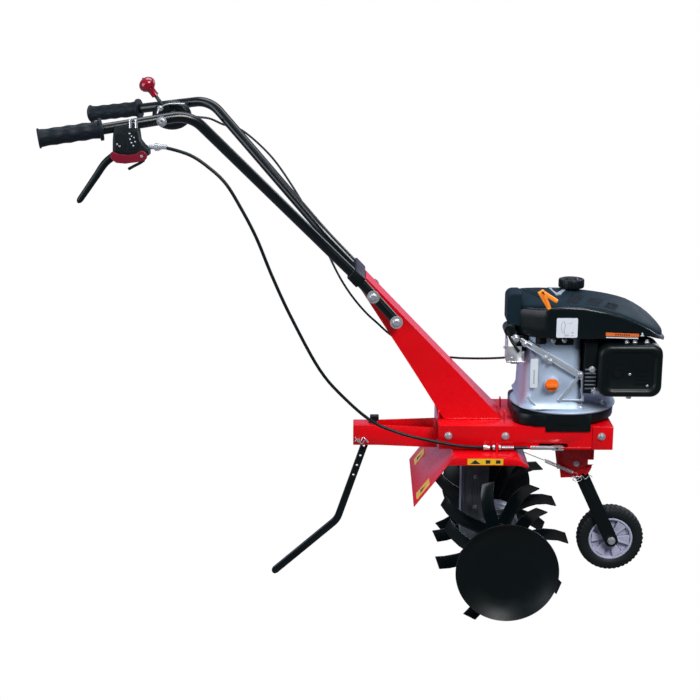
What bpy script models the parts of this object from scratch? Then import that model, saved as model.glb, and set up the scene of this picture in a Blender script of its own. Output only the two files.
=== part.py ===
"""Small petrol tiller with a vertical-shaft engine, belt clutch and worm-drive tines.

Metres, +Z up, +X forward, the operator stands at -X. The origin is on the ground under the
middle of the machine. "right" is the operator's right, which is -Y.
"""
import math

import bmesh
import bpy
from mathutils import Matrix, Vector

# ---- driving dimensions -------------------------------------------------------------------
GAP = 0.0005                      # clearance between touching pieces
SHEET = 0.0025                    # pressed steel thickness

TUBE_R = 0.011                    # 22 mm handlebar tube
GRIP_END = Vector((-0.6542, -0.2725, 1.0363))
GRIP_START = Vector((-0.5308, -0.2404, 1.0518))
TUBE_BEND = Vector((-0.3636, -0.1850, 1.0751))
TUBE_WAIST = Vector((-0.1013, -0.0660, 0.7901))
TUBE_NECK = Vector((-0.0342, -0.0560, 0.7215))
TUBE_FOOT_TOP = Vector((0.0041, -0.0520, 0.6779))
TUBE_FOOT = Vector((0.0651, -0.0520, 0.6100))
BEND_R = 0.070

BODY_X = (0.153, 0.531)           # belt housing
BODY_Y = 0.105
BODY_Z = (0.341, 0.394)
MAST_Y = 0.0405
MAST_SIDE = ((-0.021, 0.688), (-0.008, 0.7115), (0.295, 0.3945), (0.166, 0.3945))
HANDLE_BOLTS = ((0.008, 0.6737), (0.0585, 0.6174))

TINE_AXLE = Vector((0.293, 0.0, 0.1220))
TINE_R = 0.1435
TINE_SHAFT_R = 0.010
TINE_SHAFT_HALF = 0.2530
DISC_R = 0.110
WORM_X = 0.241
WORM_TEETH_RATIO = 24
GEARCASE_Y = 0.030

CRANK_X = 0.434
INPUT_PULLEY_R = 0.050
ENGINE_PULLEY_R = 0.030
BELT_Z = (0.3535, 0.3645)
GROOVE_DEPTH = 0.008
BELT_THICK = 0.006

IDLER_PIVOT = Vector((0.415, -0.075))
IDLER_CENTRE = Vector((0.335, -0.070))
CLEVIS_X = 0.417
CLEVIS_Y = -0.115
CLEVIS_Z = 0.348

WHEEL_PIVOT = Vector((0.468, 0.0, 0.283))
WHEEL_AXLE = Vector((0.5565, 0.0, 0.0945))
WHEEL_R = 0.0765
FORK_IN = 0.0235
FORK_T = 0.004

STAKE_TOP = Vector((0.011, 0.379))
STAKE_BEND = Vector((-0.073, 0.135))
STAKE_TIP = Vector((-0.218, 0.008))
STAKE_W = 0.016

LEVER_Y = -0.2315
LEVER_PIVOT = Vector((-0.478, 1.018))
CATCH_PIVOT = Vector((-0.453, 1.000))
BRACE = Vector((-0.416, 0.0, 1.065))
THROTTLE_PIVOT = Vector((-0.438, 0.0, 1.074))
KNOB = Vector((-0.473, 0.0, 1.1235))

SHROUD_Z0 = 0.598
SHROUD_RIDGE = ((0.310, 0.6550), (0.337, 0.6605), (0.360, 0.6620), (0.388, 0.6665), (0.416, 0.6695),
                (0.457, 0.6672), (0.503, 0.6580), (0.537, 0.6470), (0.572, 0.6305), (0.601, 0.6145),
                (0.642, 0.5845), (0.653, 0.5785))
SHROUD_TOP = ((0.310, 0.6790), (0.368, 0.6825), (0.420, 0.6810), (0.4735, 0.6775), (0.506, 0.6732),
              (0.539, 0.6667), (0.565, 0.6587), (0.591, 0.6456), (0.617, 0.6263), (0.634, 0.6090),
              (0.648, 0.5918), (0.6535, 0.5830))

# Routes of the two held cables, chosen by hand.
CLUTCH_CABLE = ((-0.4390, -0.2315, 1.0155), (-0.415, -0.235, 1.016), (-0.360, -0.235, 1.000),
                (-0.319, -0.235, 0.972), (-0.289, -0.235, 0.942), (-0.263, -0.230, 0.897),
                (-0.232, -0.220, 0.832), (-0.201, -0.200, 0.745), (-0.163, -0.180, 0.652),
                (-0.106, -0.150, 0.533), (-0.053, -0.128, 0.463), (0.008, -0.114, 0.406),
                (0.074, -0.114, 0.378), (0.146, -0.115, 0.361), (0.210, -0.115, 0.3505),
                (0.290, -0.115, 0.348), (0.3470, -0.115, 0.348))
THROTTLE_CABLE = ((-0.3795, 0.000, 1.0545), (-0.3738, 0.050, 1.0491), (-0.3568, 0.120, 1.0395),
                  (-0.3340, 0.185, 1.0205), (-0.3121, 0.212, 1.0120), (-0.2899, 0.218, 1.0010),
                  (-0.2525, 0.205, 0.9718), (-0.2172, 0.185, 0.9375), (-0.1819, 0.160, 0.8915),
                  (-0.1469, 0.132, 0.8396), (-0.1169, 0.110, 0.7882), (-0.0894, 0.090, 0.7306),
                  (-0.0678, 0.078, 0.6892), (-0.0462, 0.070, 0.6558), (-0.0248, 0.063, 0.6289),
                  (-0.0033, 0.058, 0.6060), (0.0183, 0.055, 0.5869), (0.0463, 0.053, 0.5621),
                  (0.0926, 0.052, 0.5320), (0.1428, 0.050, 0.5139), (0.1963, 0.046, 0.5087),
                  (0.2273, 0.025, 0.5130), (0.2585, -0.005, 0.5209), (0.2813, -0.045, 0.5325),
                  (0.2925, -0.085, 0.5440))
# The origin comes to lie on the ground under the middle of the box.
SHIFT = Vector((0.003, 0.0, 0.025))

COLOURS = {
    "red_paint": ((0.55, 0.008, 0.012), 0.30, 0.0),
    "black_paint": ((0.012, 0.014, 0.018), 0.30, 0.0),
    "black_plastic": ((0.018, 0.023, 0.028), 0.45, 0.0),
    "rubber": ((0.015, 0.018, 0.024), 0.75, 0.0),
    "zinc": ((0.60, 0.62, 0.64), 0.30, 1.0),
    "steel": ((0.35, 0.36, 0.38), 0.40, 1.0),
    "aluminium": ((0.52, 0.54, 0.57), 0.38, 1.0),
    "orange_plastic": ((0.90, 0.22, 0.01), 0.40, 0.0),
    "crimson_plastic": ((0.40, 0.010, 0.040), 0.40, 0.0),
    "grey_plastic": ((0.46, 0.47, 0.58), 0.45, 0.0),
    "knob_red": ((0.42, 0.004, 0.015), 0.25, 0.0),
}


# ---- helpers ------------------------------------------------------------------------------
def clear_scene():
    for obj in list(bpy.data.objects):
        bpy.data.objects.remove(obj, do_unlink=True)


def new_collection(name):
    group = bpy.data.collections.new(name)
    bpy.context.scene.collection.children.link(group)
    return group


def material(name):
    found = bpy.data.materials.get(name)
    if found:
        return found
    colour, roughness, metallic = COLOURS[name]
    made = bpy.data.materials.new(name)
    made.use_nodes = True
    shader = made.node_tree.nodes["Principled BSDF"]
    shader.inputs["Base Color"].default_value = (*colour, 1.0)
    shader.inputs["Roughness"].default_value = roughness
    shader.inputs["Metallic"].default_value = metallic
    return made


def place(name, mesh, look=None, parent=None, smooth=True):
    """Link a mesh as a node of the tiller, or as a cutter when it has no look."""
    obj = bpy.data.objects.new(name, mesh)
    if look:
        TILLER.objects.link(obj)
        mesh.materials.append(material(look))
        if smooth:
            mesh.shade_smooth()
            mesh.set_sharp_from_angle(angle=math.radians(32))
    else:
        CUTTERS.objects.link(obj)
        obj.hide_render = True
        obj.display_type = "WIRE"
    if parent:
        obj.parent = parent
        obj.matrix_parent_inverse = Matrix.Translation(parent.location).inverted()
    return obj


def joint_empty(name, location):
    empty = bpy.data.objects.new(name, None)
    empty.location = location
    TILLER.objects.link(empty)
    return empty


def finish_mesh(mesh, matrix):
    """Weld, turn the faces outwards and move a mesh into place."""
    work = bmesh.new()
    work.from_mesh(mesh)
    work.transform(matrix)
    bmesh.ops.remove_doubles(work, verts=work.verts, dist=0.00002)
    bmesh.ops.recalc_face_normals(work, faces=work.faces)
    work.to_mesh(mesh)
    work.free()
    return mesh


def from_curve(curve, matrix=None):
    obj = bpy.data.objects.new("temporary", curve)
    bpy.context.scene.collection.objects.link(obj)
    bpy.context.view_layer.update()
    evaluated = obj.evaluated_get(bpy.context.evaluated_depsgraph_get())
    mesh = bpy.data.meshes.new_from_object(evaluated)
    bpy.data.objects.remove(obj, do_unlink=True)
    bpy.data.curves.remove(curve)
    return finish_mesh(mesh, matrix or Matrix.Identity(4))


def towards(axis):
    """Rotation that takes +Z to the given direction."""
    return Vector(axis).to_track_quat("Z", "Y").to_matrix().to_4x4()


def box_mesh(low, high):
    low, high = Vector(low), Vector(high)
    work = bmesh.new()
    size = Matrix.Diagonal((*(high - low), 1.0))
    bmesh.ops.create_cube(work, size=1.0, matrix=Matrix.Translation((low + high) / 2) @ size)
    mesh = bpy.data.meshes.new("box")
    work.to_mesh(mesh)
    work.free()
    return mesh


def rod_mesh(start, end, radius, sides=16, radius_end=None):
    start, end = Vector(start), Vector(end)
    work = bmesh.new()
    where = Matrix.Translation((start + end) / 2) @ towards(end - start)
    bmesh.ops.create_cone(work, cap_ends=True, segments=sides, radius1=radius,
                          radius2=radius if radius_end is None else radius_end,
                          depth=(end - start).length, matrix=where)
    mesh = bpy.data.meshes.new("rod")
    work.to_mesh(mesh)
    work.free()
    return mesh


def tube_mesh(points, radius, sides=12):
    curve = bpy.data.curves.new("tube", "CURVE")
    curve.dimensions = "3D"
    curve.bevel_depth = radius
    curve.bevel_resolution = sides // 2 - 2
    curve.use_fill_caps = True
    spline = curve.splines.new("POLY")
    spline.points.add(len(points) - 1)
    for spot, point in zip(spline.points, points):
        spot.co = (*point, 1.0)
    return from_curve(curve)


def outline_mesh(outlines, low, high, plane="XZ"):
    """Flat outlines filled and extruded from low to high across their plane."""
    curve = bpy.data.curves.new("outline", "CURVE")
    curve.dimensions = "2D"
    curve.fill_mode = "BOTH"
    curve.extrude = (high - low) / 2
    for outline in outlines:
        spline = curve.splines.new("POLY")
        spline.points.add(len(outline) - 1)
        for spot, point in zip(spline.points, outline):
            spot.co = (point[0], point[1], 0.0, 1.0)
        spline.use_cyclic_u = True
    middle = (low + high) / 2
    if plane == "XZ":
        matrix = Matrix.Translation((0, middle, 0)) @ Matrix.Rotation(math.pi / 2, 4, "X")
    else:
        matrix = Matrix.Translation((0, 0, middle))
    return from_curve(curve, matrix)


def turned(name, profile, origin, axis, look, parent=None, steps=32):
    """Closed ring profile of (radius, height) points turned about an axis."""
    mesh = bpy.data.meshes.new(name)
    spots = [(radius, 0.0, height) for radius, height in profile]
    edges = [(i, (i + 1) % len(spots)) for i in range(len(spots))]
    if profile[0][0] == 0.0:
        edges.pop()
    mesh.from_pydata(spots, edges, [])
    obj = bpy.data.objects.new("temporary", mesh)
    bpy.context.scene.collection.objects.link(obj)
    screw = obj.modifiers.new("turn", "SCREW")
    screw.steps = steps
    screw.render_steps = steps
    screw.use_merge_vertices = True
    screw.merge_threshold = 0.00001
    bpy.context.view_layer.update()
    evaluated = obj.evaluated_get(bpy.context.evaluated_depsgraph_get())
    made = bpy.data.meshes.new_from_object(evaluated)
    bpy.data.objects.remove(obj, do_unlink=True)
    finish_mesh(made, Matrix.Translation(origin) @ towards(axis))
    return place(name, made, look, parent)


def cut(target, mesh, operation="DIFFERENCE"):
    """Cut a mesh out of an object, or join it on with a UNION."""
    modifier = target.modifiers.new("boolean", "BOOLEAN")
    modifier.operation = operation
    modifier.solver = "EXACT"
    modifier.object = place(target.name + "_cutter", mesh)
    return target


def join(target, mesh):
    return cut(target, mesh, "UNION")


def bevel(target, width, segments=2, angle=40):
    modifier = target.modifiers.new("bevel", "BEVEL")
    modifier.width = width
    modifier.segments = segments
    modifier.limit_method = "ANGLE"
    modifier.angle_limit = math.radians(angle)
    return target


def arc(centre, radius, start, stop, count):
    """Points on an arc, angles in degrees."""
    angles = [math.radians(start + (stop - start) * i / (count - 1)) for i in range(count)]
    return [(centre[0] + radius * math.cos(a), centre[1] + radius * math.sin(a)) for a in angles]


def circle(centre, radius, count=32):
    return arc(centre, radius, 0, 360 - 360 / count, count)


def rounded_rect(x0, x1, y0, y1, radius, count=5):
    corners = ((x1, y1, 0), (x0, y1, 90), (x0, y0, 180), (x1, y0, 270))
    points = []
    for x, y, start in corners:
        inward = (radius if x == x0 else -radius, radius if y == y0 else -radius)
        points += arc((x + inward[0], y + inward[1]), radius, start, start + 90, count)
    return points


def belt_outline(near, near_r, far, far_r, count=17):
    """Open belt round two circles that lie on the X axis, at x = near and x = far."""
    lean = math.degrees(math.asin((near_r - far_r) / (far - near)))
    return (arc((near, 0), near_r, 90 - lean, 270 + lean, count)
            + arc((far, 0), far_r, 270 + lean, 450 - lean, count))


def ribbon(points, widths, round_count=5):
    """Outline of a bar of changing width along 2D points, with round ends."""
    points = [Vector(p) for p in points]
    left, right = [], []
    for i, point in enumerate(points):
        before = points[max(i - 1, 0)]
        after = points[min(i + 1, len(points) - 1)]
        along = (after - before).normalized()
        side = Vector((-along.y, along.x)) * widths[i] / 2
        left.append(point + side)
        right.append(point - side)
    start = points[0] - points[1]
    finish = points[-1] - points[-2]
    a0 = math.degrees(math.atan2(start.y, start.x))
    a1 = math.degrees(math.atan2(finish.y, finish.x))
    head = arc(points[0], widths[0] / 2, a0 - 90, a0 + 90, round_count)
    tail = arc(points[-1], widths[-1] / 2, a1 - 90, a1 + 90, round_count)
    return [tuple(p) for p in right[1:-1]] + tail + [tuple(p) for p in reversed(left[1:-1])] + head


def fillet_path(points, radii, count=5):
    """Polyline with its inner corners rounded to the given radii."""
    points = [Vector(p) for p in points]
    path = [points[0]]
    for before, corner, after, radius in zip(points, points[1:], points[2:], radii):
        back = (before - corner).normalized()
        ahead = (after - corner).normalized()
        half = back.angle(ahead) / 2
        reach = radius / math.tan(half)
        centre = corner + (back + ahead).normalized() * radius / math.sin(half)
        start = corner + back * reach - centre
        stop = corner + ahead * reach - centre
        for i in range(count):
            path.append(centre + start.normalized().slerp(stop.normalized(), i / (count - 1)) * radius)
    path.append(points[-1])
    return path


def smooth_route(points, per_span=2):
    """Catmull-Rom curve through a route's points."""
    points = [Vector(p) for p in points]
    route = []
    for i in range(len(points) - 1):
        p0 = points[max(i - 1, 0)]
        p1, p2 = points[i], points[i + 1]
        p3 = points[min(i + 2, len(points) - 1)]
        for step in range(per_span):
            t = step / per_span
            route.append(0.5 * (2 * p1 + (p2 - p0) * t + (2 * p0 - 5 * p1 + 4 * p2 - p3) * t * t
                                + (3 * p1 - p0 - 3 * p2 + p3) * t ** 3))
    route.append(points[-1])
    return route


def flip(points):
    """The same points on the operator's left."""
    return [Vector((p[0], -p[1], p[2])) for p in points]


# ---- frame --------------------------------------------------------------------------------
def body_shell():
    obj = place("body_shell", box_mesh((BODY_X[0], -BODY_Y, BODY_Z[0]), (BODY_X[1], BODY_Y, BODY_Z[1])),
                "red_paint")
    cut(obj, box_mesh((BODY_X[0] + SHEET, SHEET - BODY_Y, BODY_Z[0] - 0.01),
                      (BODY_X[1] - SHEET, BODY_Y - SHEET, BODY_Z[1] - SHEET)))
    cut(obj, rod_mesh((CRANK_X, 0, 0.38), (CRANK_X, 0, 0.41), 0.022))
    slot = rounded_rect(0.372, 0.436, CLEVIS_Z - 0.0045, CLEVIS_Z + 0.0065, 0.004)
    cut(obj, outline_mesh([slot], -BODY_Y - 0.01, 0.01 - BODY_Y))


def front_end_plate():
    y0, y1 = BODY_Y + GAP, BODY_Y + GAP + SHEET
    x0, x1 = BODY_X[1] + GAP, BODY_X[1] + GAP + SHEET
    outline = [(0.489, -y1), (x1, -y1), (x1, y1), (0.489, y1), (0.489, y0), (x0, y0), (x0, -y0),
               (0.489, -y0)]
    place("front_end_plate", outline_mesh([outline], *BODY_Z, "XY"), "red_paint")


def mast():
    obj = place("mast", outline_mesh([MAST_SIDE], -MAST_Y, MAST_Y), "red_paint")
    along = (Vector(MAST_SIDE[2]) - Vector(MAST_SIDE[1])).normalized()
    inward = Vector((along.y, -along.x)) * SHEET
    top, foot = Vector(MAST_SIDE[1]) + inward, Vector(MAST_SIDE[2]) + inward
    reach = inward.normalized() * 0.3
    inner = [tuple(top - along * 0.1), tuple(foot + along * 0.1), tuple(foot + along * 0.1 + reach),
             tuple(top - along * 0.1 + reach)]
    cut(obj, outline_mesh([inner], SHEET - MAST_Y, MAST_Y - SHEET))
    for x, z in HANDLE_BOLTS:
        cut(obj, rod_mesh((x, -0.1, z), (x, 0.1, z), 0.0046, 12))


def rear_bracket():
    outer = [(BODY_X[0] - GAP, -0.0385), (BODY_X[0] - GAP, 0.0385), (0.020, 0.0225), (-0.036, 0.0225),
             (-0.036, -0.0225), (0.020, -0.0225)]
    inner = [(0.150, -0.0345), (0.150, 0.0345), (0.020, 0.0185), (0.020, -0.0185)]
    obj = place("rear_bracket", outline_mesh([outer, inner], 0.322, 0.369, "XY"), "red_paint")
    along = (STAKE_TOP - STAKE_BEND).normalized()
    slot = ribbon([STAKE_TOP + along * 0.05, STAKE_TOP - along * 0.12], [STAKE_W + 2 * GAP] * 2)
    cut(obj, outline_mesh([slot], -0.0056, 0.0056))


def tine_guard():
    side, skirt_z = 0.157, 0.321
    profile = ((0.098, 0.226), (0.184, 0.3385), (0.319, 0.3385), (0.345, 0.316))
    work = bmesh.new()
    rows = [[work.verts.new((x, y, z)) for x, z in profile] for y in (-side, side)]
    for i in range(len(profile) - 1):
        work.faces.new((rows[0][i], rows[0][i + 1], rows[1][i + 1], rows[1][i]))
    for row in rows:
        low = [work.verts.new((x, row[0].co.y, z)) for x, z in ((0.171, skirt_z), (0.319, skirt_z))]
        work.faces.new((row[1], row[2], low[1], low[0]))
        work.faces.new((row[2], row[3], low[1]))
    bmesh.ops.recalc_face_normals(work, faces=work.faces)
    mesh = bpy.data.meshes.new("tine_guard")
    work.to_mesh(mesh)
    work.free()
    obj = place("tine_guard", mesh, "red_paint", smooth=False)
    shell = obj.modifiers.new("sheet", "SOLIDIFY")
    shell.thickness = 0.002
    shell.offset = 0.0
    shell.use_even_offset = True
    cut(obj, rod_mesh((WORM_X, 0, 0.33), (WORM_X, 0, 0.35), 0.014))


def wheel_bracket():
    notch = [(0.421, 0.343), (0.507, 0.343), (0.507, 0.292), (0.494, 0.292), (0.494, 0.280), (0.507, 0.280)]
    latch = arc(WHEEL_PIVOT.xz, 0.036, -5, -42, 5) + [(0.489, 0.2545), (0.483, 0.261), (0.478, 0.251)]
    outline = notch + latch + [(0.434, 0.249)]
    y0 = FORK_IN + FORK_T + 0.001
    obj = place("wheel_bracket", outline_mesh([outline], -y0 - 0.003, -y0), "red_paint")
    join(obj, outline_mesh([outline], y0, y0 + 0.003))
    join(obj, box_mesh((0.421, -0.102, 0.3405), (0.507, 0.102, 0.3435)))
    cut(obj, rod_mesh(WHEEL_PIVOT - Vector((0, 0.1, 0)), WHEEL_PIVOT + Vector((0, 0.1, 0)), 0.0046, 16))


# ---- handlebars ---------------------------------------------------------------------------
def handlebar_path():
    points = [GRIP_END + (GRIP_START - GRIP_END).normalized() * 0.004, GRIP_START, TUBE_BEND,
              TUBE_WAIST, TUBE_NECK, TUBE_FOOT_TOP, TUBE_FOOT]
    return fillet_path(points, [0.2, BEND_R, 0.3, 0.15, 0.15])


def handlebars():
    path = handlebar_path()
    for name, route in (("handlebar_right", path), ("handlebar_left", flip(path))):
        obj = place(name, tube_mesh(route, TUBE_R, 12), "black_paint")
        for x, z in HANDLE_BOLTS:
            cut(obj, rod_mesh((x, -0.1, z), (x, 0.1, z), 0.0046, 12))
    along = (TUBE_FOOT_TOP - TUBE_WAIST).normalized()
    lean = Matrix.Translation((-0.0290, 0, 0.7155)) @ Matrix.Rotation(math.atan2(-along.z, along.x), 4, "Y")
    block = box_mesh((-0.0155, -0.0710, -0.0140), (0.0155, 0.0710, 0.0140))
    block.transform(lean)
    collar = bevel(place("handle_collar", block, "black_plastic"), 0.003)
    for route in (path, flip(path)):
        cut(collar, tube_mesh(route, TUBE_R + 2 * GAP, 12))
    notch = [(-0.0220, 0.60), (-0.0220, 0.6885), (-0.0085, 0.7125), (0.05, 0.7125), (0.05, 0.60)]
    cut(collar, outline_mesh([notch], -MAST_Y - 0.001, MAST_Y + 0.001))


def grips():
    length = (GRIP_START - GRIP_END).length
    bore = TUBE_R + GAP
    profile = [(0.0165, 0.0), (0.0205, 0.001), (0.0205, 0.006), (0.0165, 0.008)]
    waves = 6
    for i in range(waves):
        z = 0.012 + (length - 0.026) * i / (waves - 1)
        profile += [(0.0172, z), (0.0158, z + 0.005)]
    profile += [(0.0175, length - 0.006), (0.0225, length - 0.005), (0.0225, length), (bore, length),
                (bore, 0.0035), (0.0, 0.0035), (0.0, 0.0)]
    profile = [profile[-1]] + profile[:-1]
    for name, end, start in (("grip_right", GRIP_END, GRIP_START),
                             ("grip_left", *flip([GRIP_END, GRIP_START]))):
        turned(name, profile, end, start - end, "rubber", steps=18)


def handle_bolts():
    for name, (x, z) in zip(("handle_bolt_upper", "handle_bolt_lower"), HANDLE_BOLTS):
        obj = place(name, rod_mesh((x, -0.0675, z), (x, 0.0675, z), 0.004, 12), "zinc")
        for side in (-1, 1):
            join(obj, rod_mesh((x, side * 0.0650, z), (x, side * 0.0670, z), 0.0140, 16))
            join(obj, rod_mesh((x, side * 0.0668, z), (x, side * 0.0718, z), 0.0085, 12, 0.0060))


def cross_brace():
    half = 0.1890
    rod = rod_mesh(BRACE - Vector((0, half, 0)), BRACE + Vector((0, half, 0)), 0.006, 16)
    place("handle_cross_brace", rod, "black_paint")


def throttle_quadrant():
    centre = Vector((-0.4252, 0.0, 1.0585))
    profile = [(0.0, -0.012), (0.033, -0.012), (0.040, -0.005), (0.040, 0.005), (0.033, 0.012), (0.0, 0.012)]
    obj = turned("throttle_quadrant", profile, centre, (0, 1, 0), "black_plastic", steps=32)
    oval = Matrix.Translation(centre) @ Matrix.Diagonal((1.045, 1.0, 0.785, 1.0))
    obj.data.transform(oval @ Matrix.Translation(-centre))
    cut(obj, rod_mesh(BRACE - Vector((0, 0.03, 0)), BRACE + Vector((0, 0.03, 0)), 0.006 + GAP, 16))


def clutch_housing():
    outline = [(-0.507, 1.0555), (-0.461, 1.0620), (-0.4575, 1.030), (-0.450, 1.020), (-0.4405, 1.012),
               (-0.4405, 1.000), (-0.462, 0.997), (-0.500, 1.000), (-0.512, 1.008), (-0.511, 1.030),
               (-0.509, 1.048)]
    obj = bevel(place("clutch_housing", outline_mesh([outline], LEVER_Y - 0.016, LEVER_Y + 0.016),
                      "black_plastic"), 0.0015)
    cut(obj, tube_mesh(handlebar_path(), TUBE_R + 2 * GAP, 12))
    cut(obj, box_mesh((-0.520, LEVER_Y - 0.0062, 0.990), (-0.4645, LEVER_Y + 0.0062, 1.0420)))


def cables():
    for name, route, radius in (("clutch_cable", CLUTCH_CABLE, 0.0035),
                                ("throttle_cable", THROTTLE_CABLE, 0.0025)):
        place(name, tube_mesh(smooth_route(route), radius, 8), "black_plastic")


# ---- gearcase, tines ----------------------------------------------------------------------
def gearcase():
    round_r, left, right, top, foot = 0.052, 0.210, 0.272, 0.337, 0.0802
    axle = TINE_AXLE.xz
    start = 180 + math.degrees(math.asin((axle.y - foot) / round_r))
    stop = 360 + math.degrees(math.acos((right - axle.x) / round_r))
    column = [(left, top), (left, foot + 0.012), (left + 0.012, foot)]
    column += arc(axle, round_r, start, stop, 20) + [(right, top)]
    for name, low, high in (("gearcase_right", -GEARCASE_Y, -GAP / 2),
                            ("gearcase_left", GAP / 2, GEARCASE_Y)):
        obj = place(name, outline_mesh([column], low, high), "aluminium")
        cut(obj, rod_mesh((WORM_X, 0, 0.0772), (WORM_X, 0, 0.345), 0.0125, 20))
        cut(obj, rod_mesh((WORM_X, 0, 0.0902), (WORM_X, 0, 0.1572), 0.0165, 20))
        for reach, radius in ((0.0150, 0.0445), (0.0400, 0.0212)):
            axle = Vector((0, reach, 0))
            cut(obj, rod_mesh(TINE_AXLE - axle, TINE_AXLE + axle, radius, 24))
    for name, side in (("shaft_bearing_right", -1), ("shaft_bearing_left", 1)):
        ring = [(0.0208, 0.0), (0.0208, 0.011), (TINE_SHAFT_R + GAP, 0.011), (TINE_SHAFT_R + GAP, 0.0)]
        turned(name, ring, TINE_AXLE + Vector((0, side * 0.0180, 0)), (0, side, 0), "steel", steps=24)


def tine_blade(angle, y, lean):
    """One bent blade as a loft of rectangles from the hub to the tip."""
    half_width, half_thick = 0.0145, 0.002
    stations = ((0.0125, 0.0, 0.0, 0), (0.082, 0.0, 0.0, 0), (0.102, 0.003, -0.002, 14),
                (0.124, 0.011, -0.008, 28), (TINE_R, 0.022, -0.018, 32))
    rings = []
    work = bmesh.new()
    turn = Matrix.Rotation(-math.radians(angle), 4, "Y")
    for radius, aside, back, tilt in stations:
        width = Vector((0, lean * math.sin(math.radians(tilt)) * 0.35, 1)).normalized() * half_width
        thick = Vector((-math.sin(math.radians(tilt)) * 0.8, lean * math.cos(math.radians(tilt)),
                        0)) * half_thick
        centre = Vector((radius, lean * aside, back))
        ring = []
        for a, b in ((-1, -1), (1, -1), (1, 1), (-1, 1)):
            spot = turn @ (centre + width * a + thick * b)
            ring.append(work.verts.new(spot + TINE_AXLE + Vector((0, y, 0))))
        rings.append(ring)
    for near, far in zip(rings, rings[1:]):
        for i in range(4):
            work.faces.new((near[i], near[(i + 1) % 4], far[(i + 1) % 4], far[i]))
    work.faces.new(rings[0])
    work.faces.new(rings[-1])
    bmesh.ops.recalc_face_normals(work, faces=work.faces)
    mesh = bpy.data.meshes.new("blade")
    work.to_mesh(mesh)
    work.free()
    return mesh


def tine_set(name, hub, plates, parent):
    bore = TINE_SHAFT_R + GAP
    ring = [(0.0150, hub[0]), (0.0150, hub[1]), (bore, hub[1]), (bore, hub[0])]
    if hub[0] > hub[1]:
        ring.reverse()
    obj = turned(name, ring, TINE_AXLE, (0, 1, 0), "black_paint", parent, steps=24)
    for plate_y, phase in plates:
        for i in range(4):
            join(obj, tine_blade(phase + 90 * i, plate_y, 1 if i % 2 else -1))


def tine_rotor():
    hub = joint_empty("tine_rotor_axis", TINE_AXLE)
    half = Vector((0, TINE_SHAFT_HALF, 0))
    place("tine_shaft", rod_mesh(TINE_AXLE - half, TINE_AXLE + half, TINE_SHAFT_R, 20), "steel", hub)
    teeth = []
    for i in range(WORM_TEETH_RATIO):
        for radius, shift in ((0.0375, -0.30), (0.0410, -0.14), (0.0410, 0.14), (0.0375, 0.30)):
            a = math.tau * (i + shift) / WORM_TEETH_RATIO
            teeth.append((TINE_AXLE.x + radius * math.cos(a), TINE_AXLE.z + radius * math.sin(a)))
    bore = circle(TINE_AXLE.xz, TINE_SHAFT_R + GAP, 24)
    place("worm_wheel", outline_mesh([teeth, bore], -0.009, 0.009), "steel", hub)
    for side, word in ((-1, "right"), (1, "left")):
        near, middle, far = (66, 19, 66) if side < 0 else (25, 70, 41)
        tine_set("tine_set_inner_" + word, sorted((side * 0.034, side * 0.172)),
                 ((side * 0.060, near), (side * 0.130, middle)), hub)
        tine_set("tine_set_outer_" + word, sorted((side * 0.173, side * 0.250)), ((side * 0.205, far),), hub)
        t = 0.0025
        dish = [(TINE_SHAFT_R + GAP, 0.0), (0.070, 0.0), (0.095, 0.012), (DISC_R, 0.024),
                (DISC_R - t * 0.3, 0.024 + t), (0.094, 0.012 + t), (0.069, t), (TINE_SHAFT_R + GAP, t)]
        turned("guard_disc_" + word, dish, TINE_AXLE + Vector((0, side * 0.2515, 0)), (0, side, 0),
               "black_paint", hub, 36)


def worm_drive():
    axis = joint_empty("worm_axis", (WORM_X, 0, TINE_AXLE.z))
    profile = [(0.0, 0.0822), (0.0080, 0.0822), (0.0080, 0.0922)]
    for i in range(5):
        z = 0.1002 + 0.008 * i
        profile += [(0.0078, z), (0.0106, z + 0.002), (0.0106, z + 0.0035), (0.0078, z + 0.0055)]
    profile += [(0.0080, 0.1562), (0.0080, 0.376), (0.0, 0.376)]
    turned("worm_shaft", profile, (WORM_X, 0, 0), (0, 0, 1), "steel", axis, 14)
    pulley("input_pulley", WORM_X, INPUT_PULLEY_R, 0.0080 + GAP, axis)


def pulley(name, x, radius, bore, parent):
    z0, z1 = BELT_Z[0] - 0.004, BELT_Z[1] + 0.004
    groove = radius - GROOVE_DEPTH
    profile = [(bore, z0), (radius, z0), (radius, BELT_Z[0] - GAP), (groove, BELT_Z[0] - GAP + 0.002),
               (groove, BELT_Z[1] + GAP - 0.002), (radius, BELT_Z[1] + GAP), (radius, z1), (bore, z1)]
    turned(name, profile, (x, 0, 0), (0, 0, 1), "steel", parent, 24)


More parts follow.
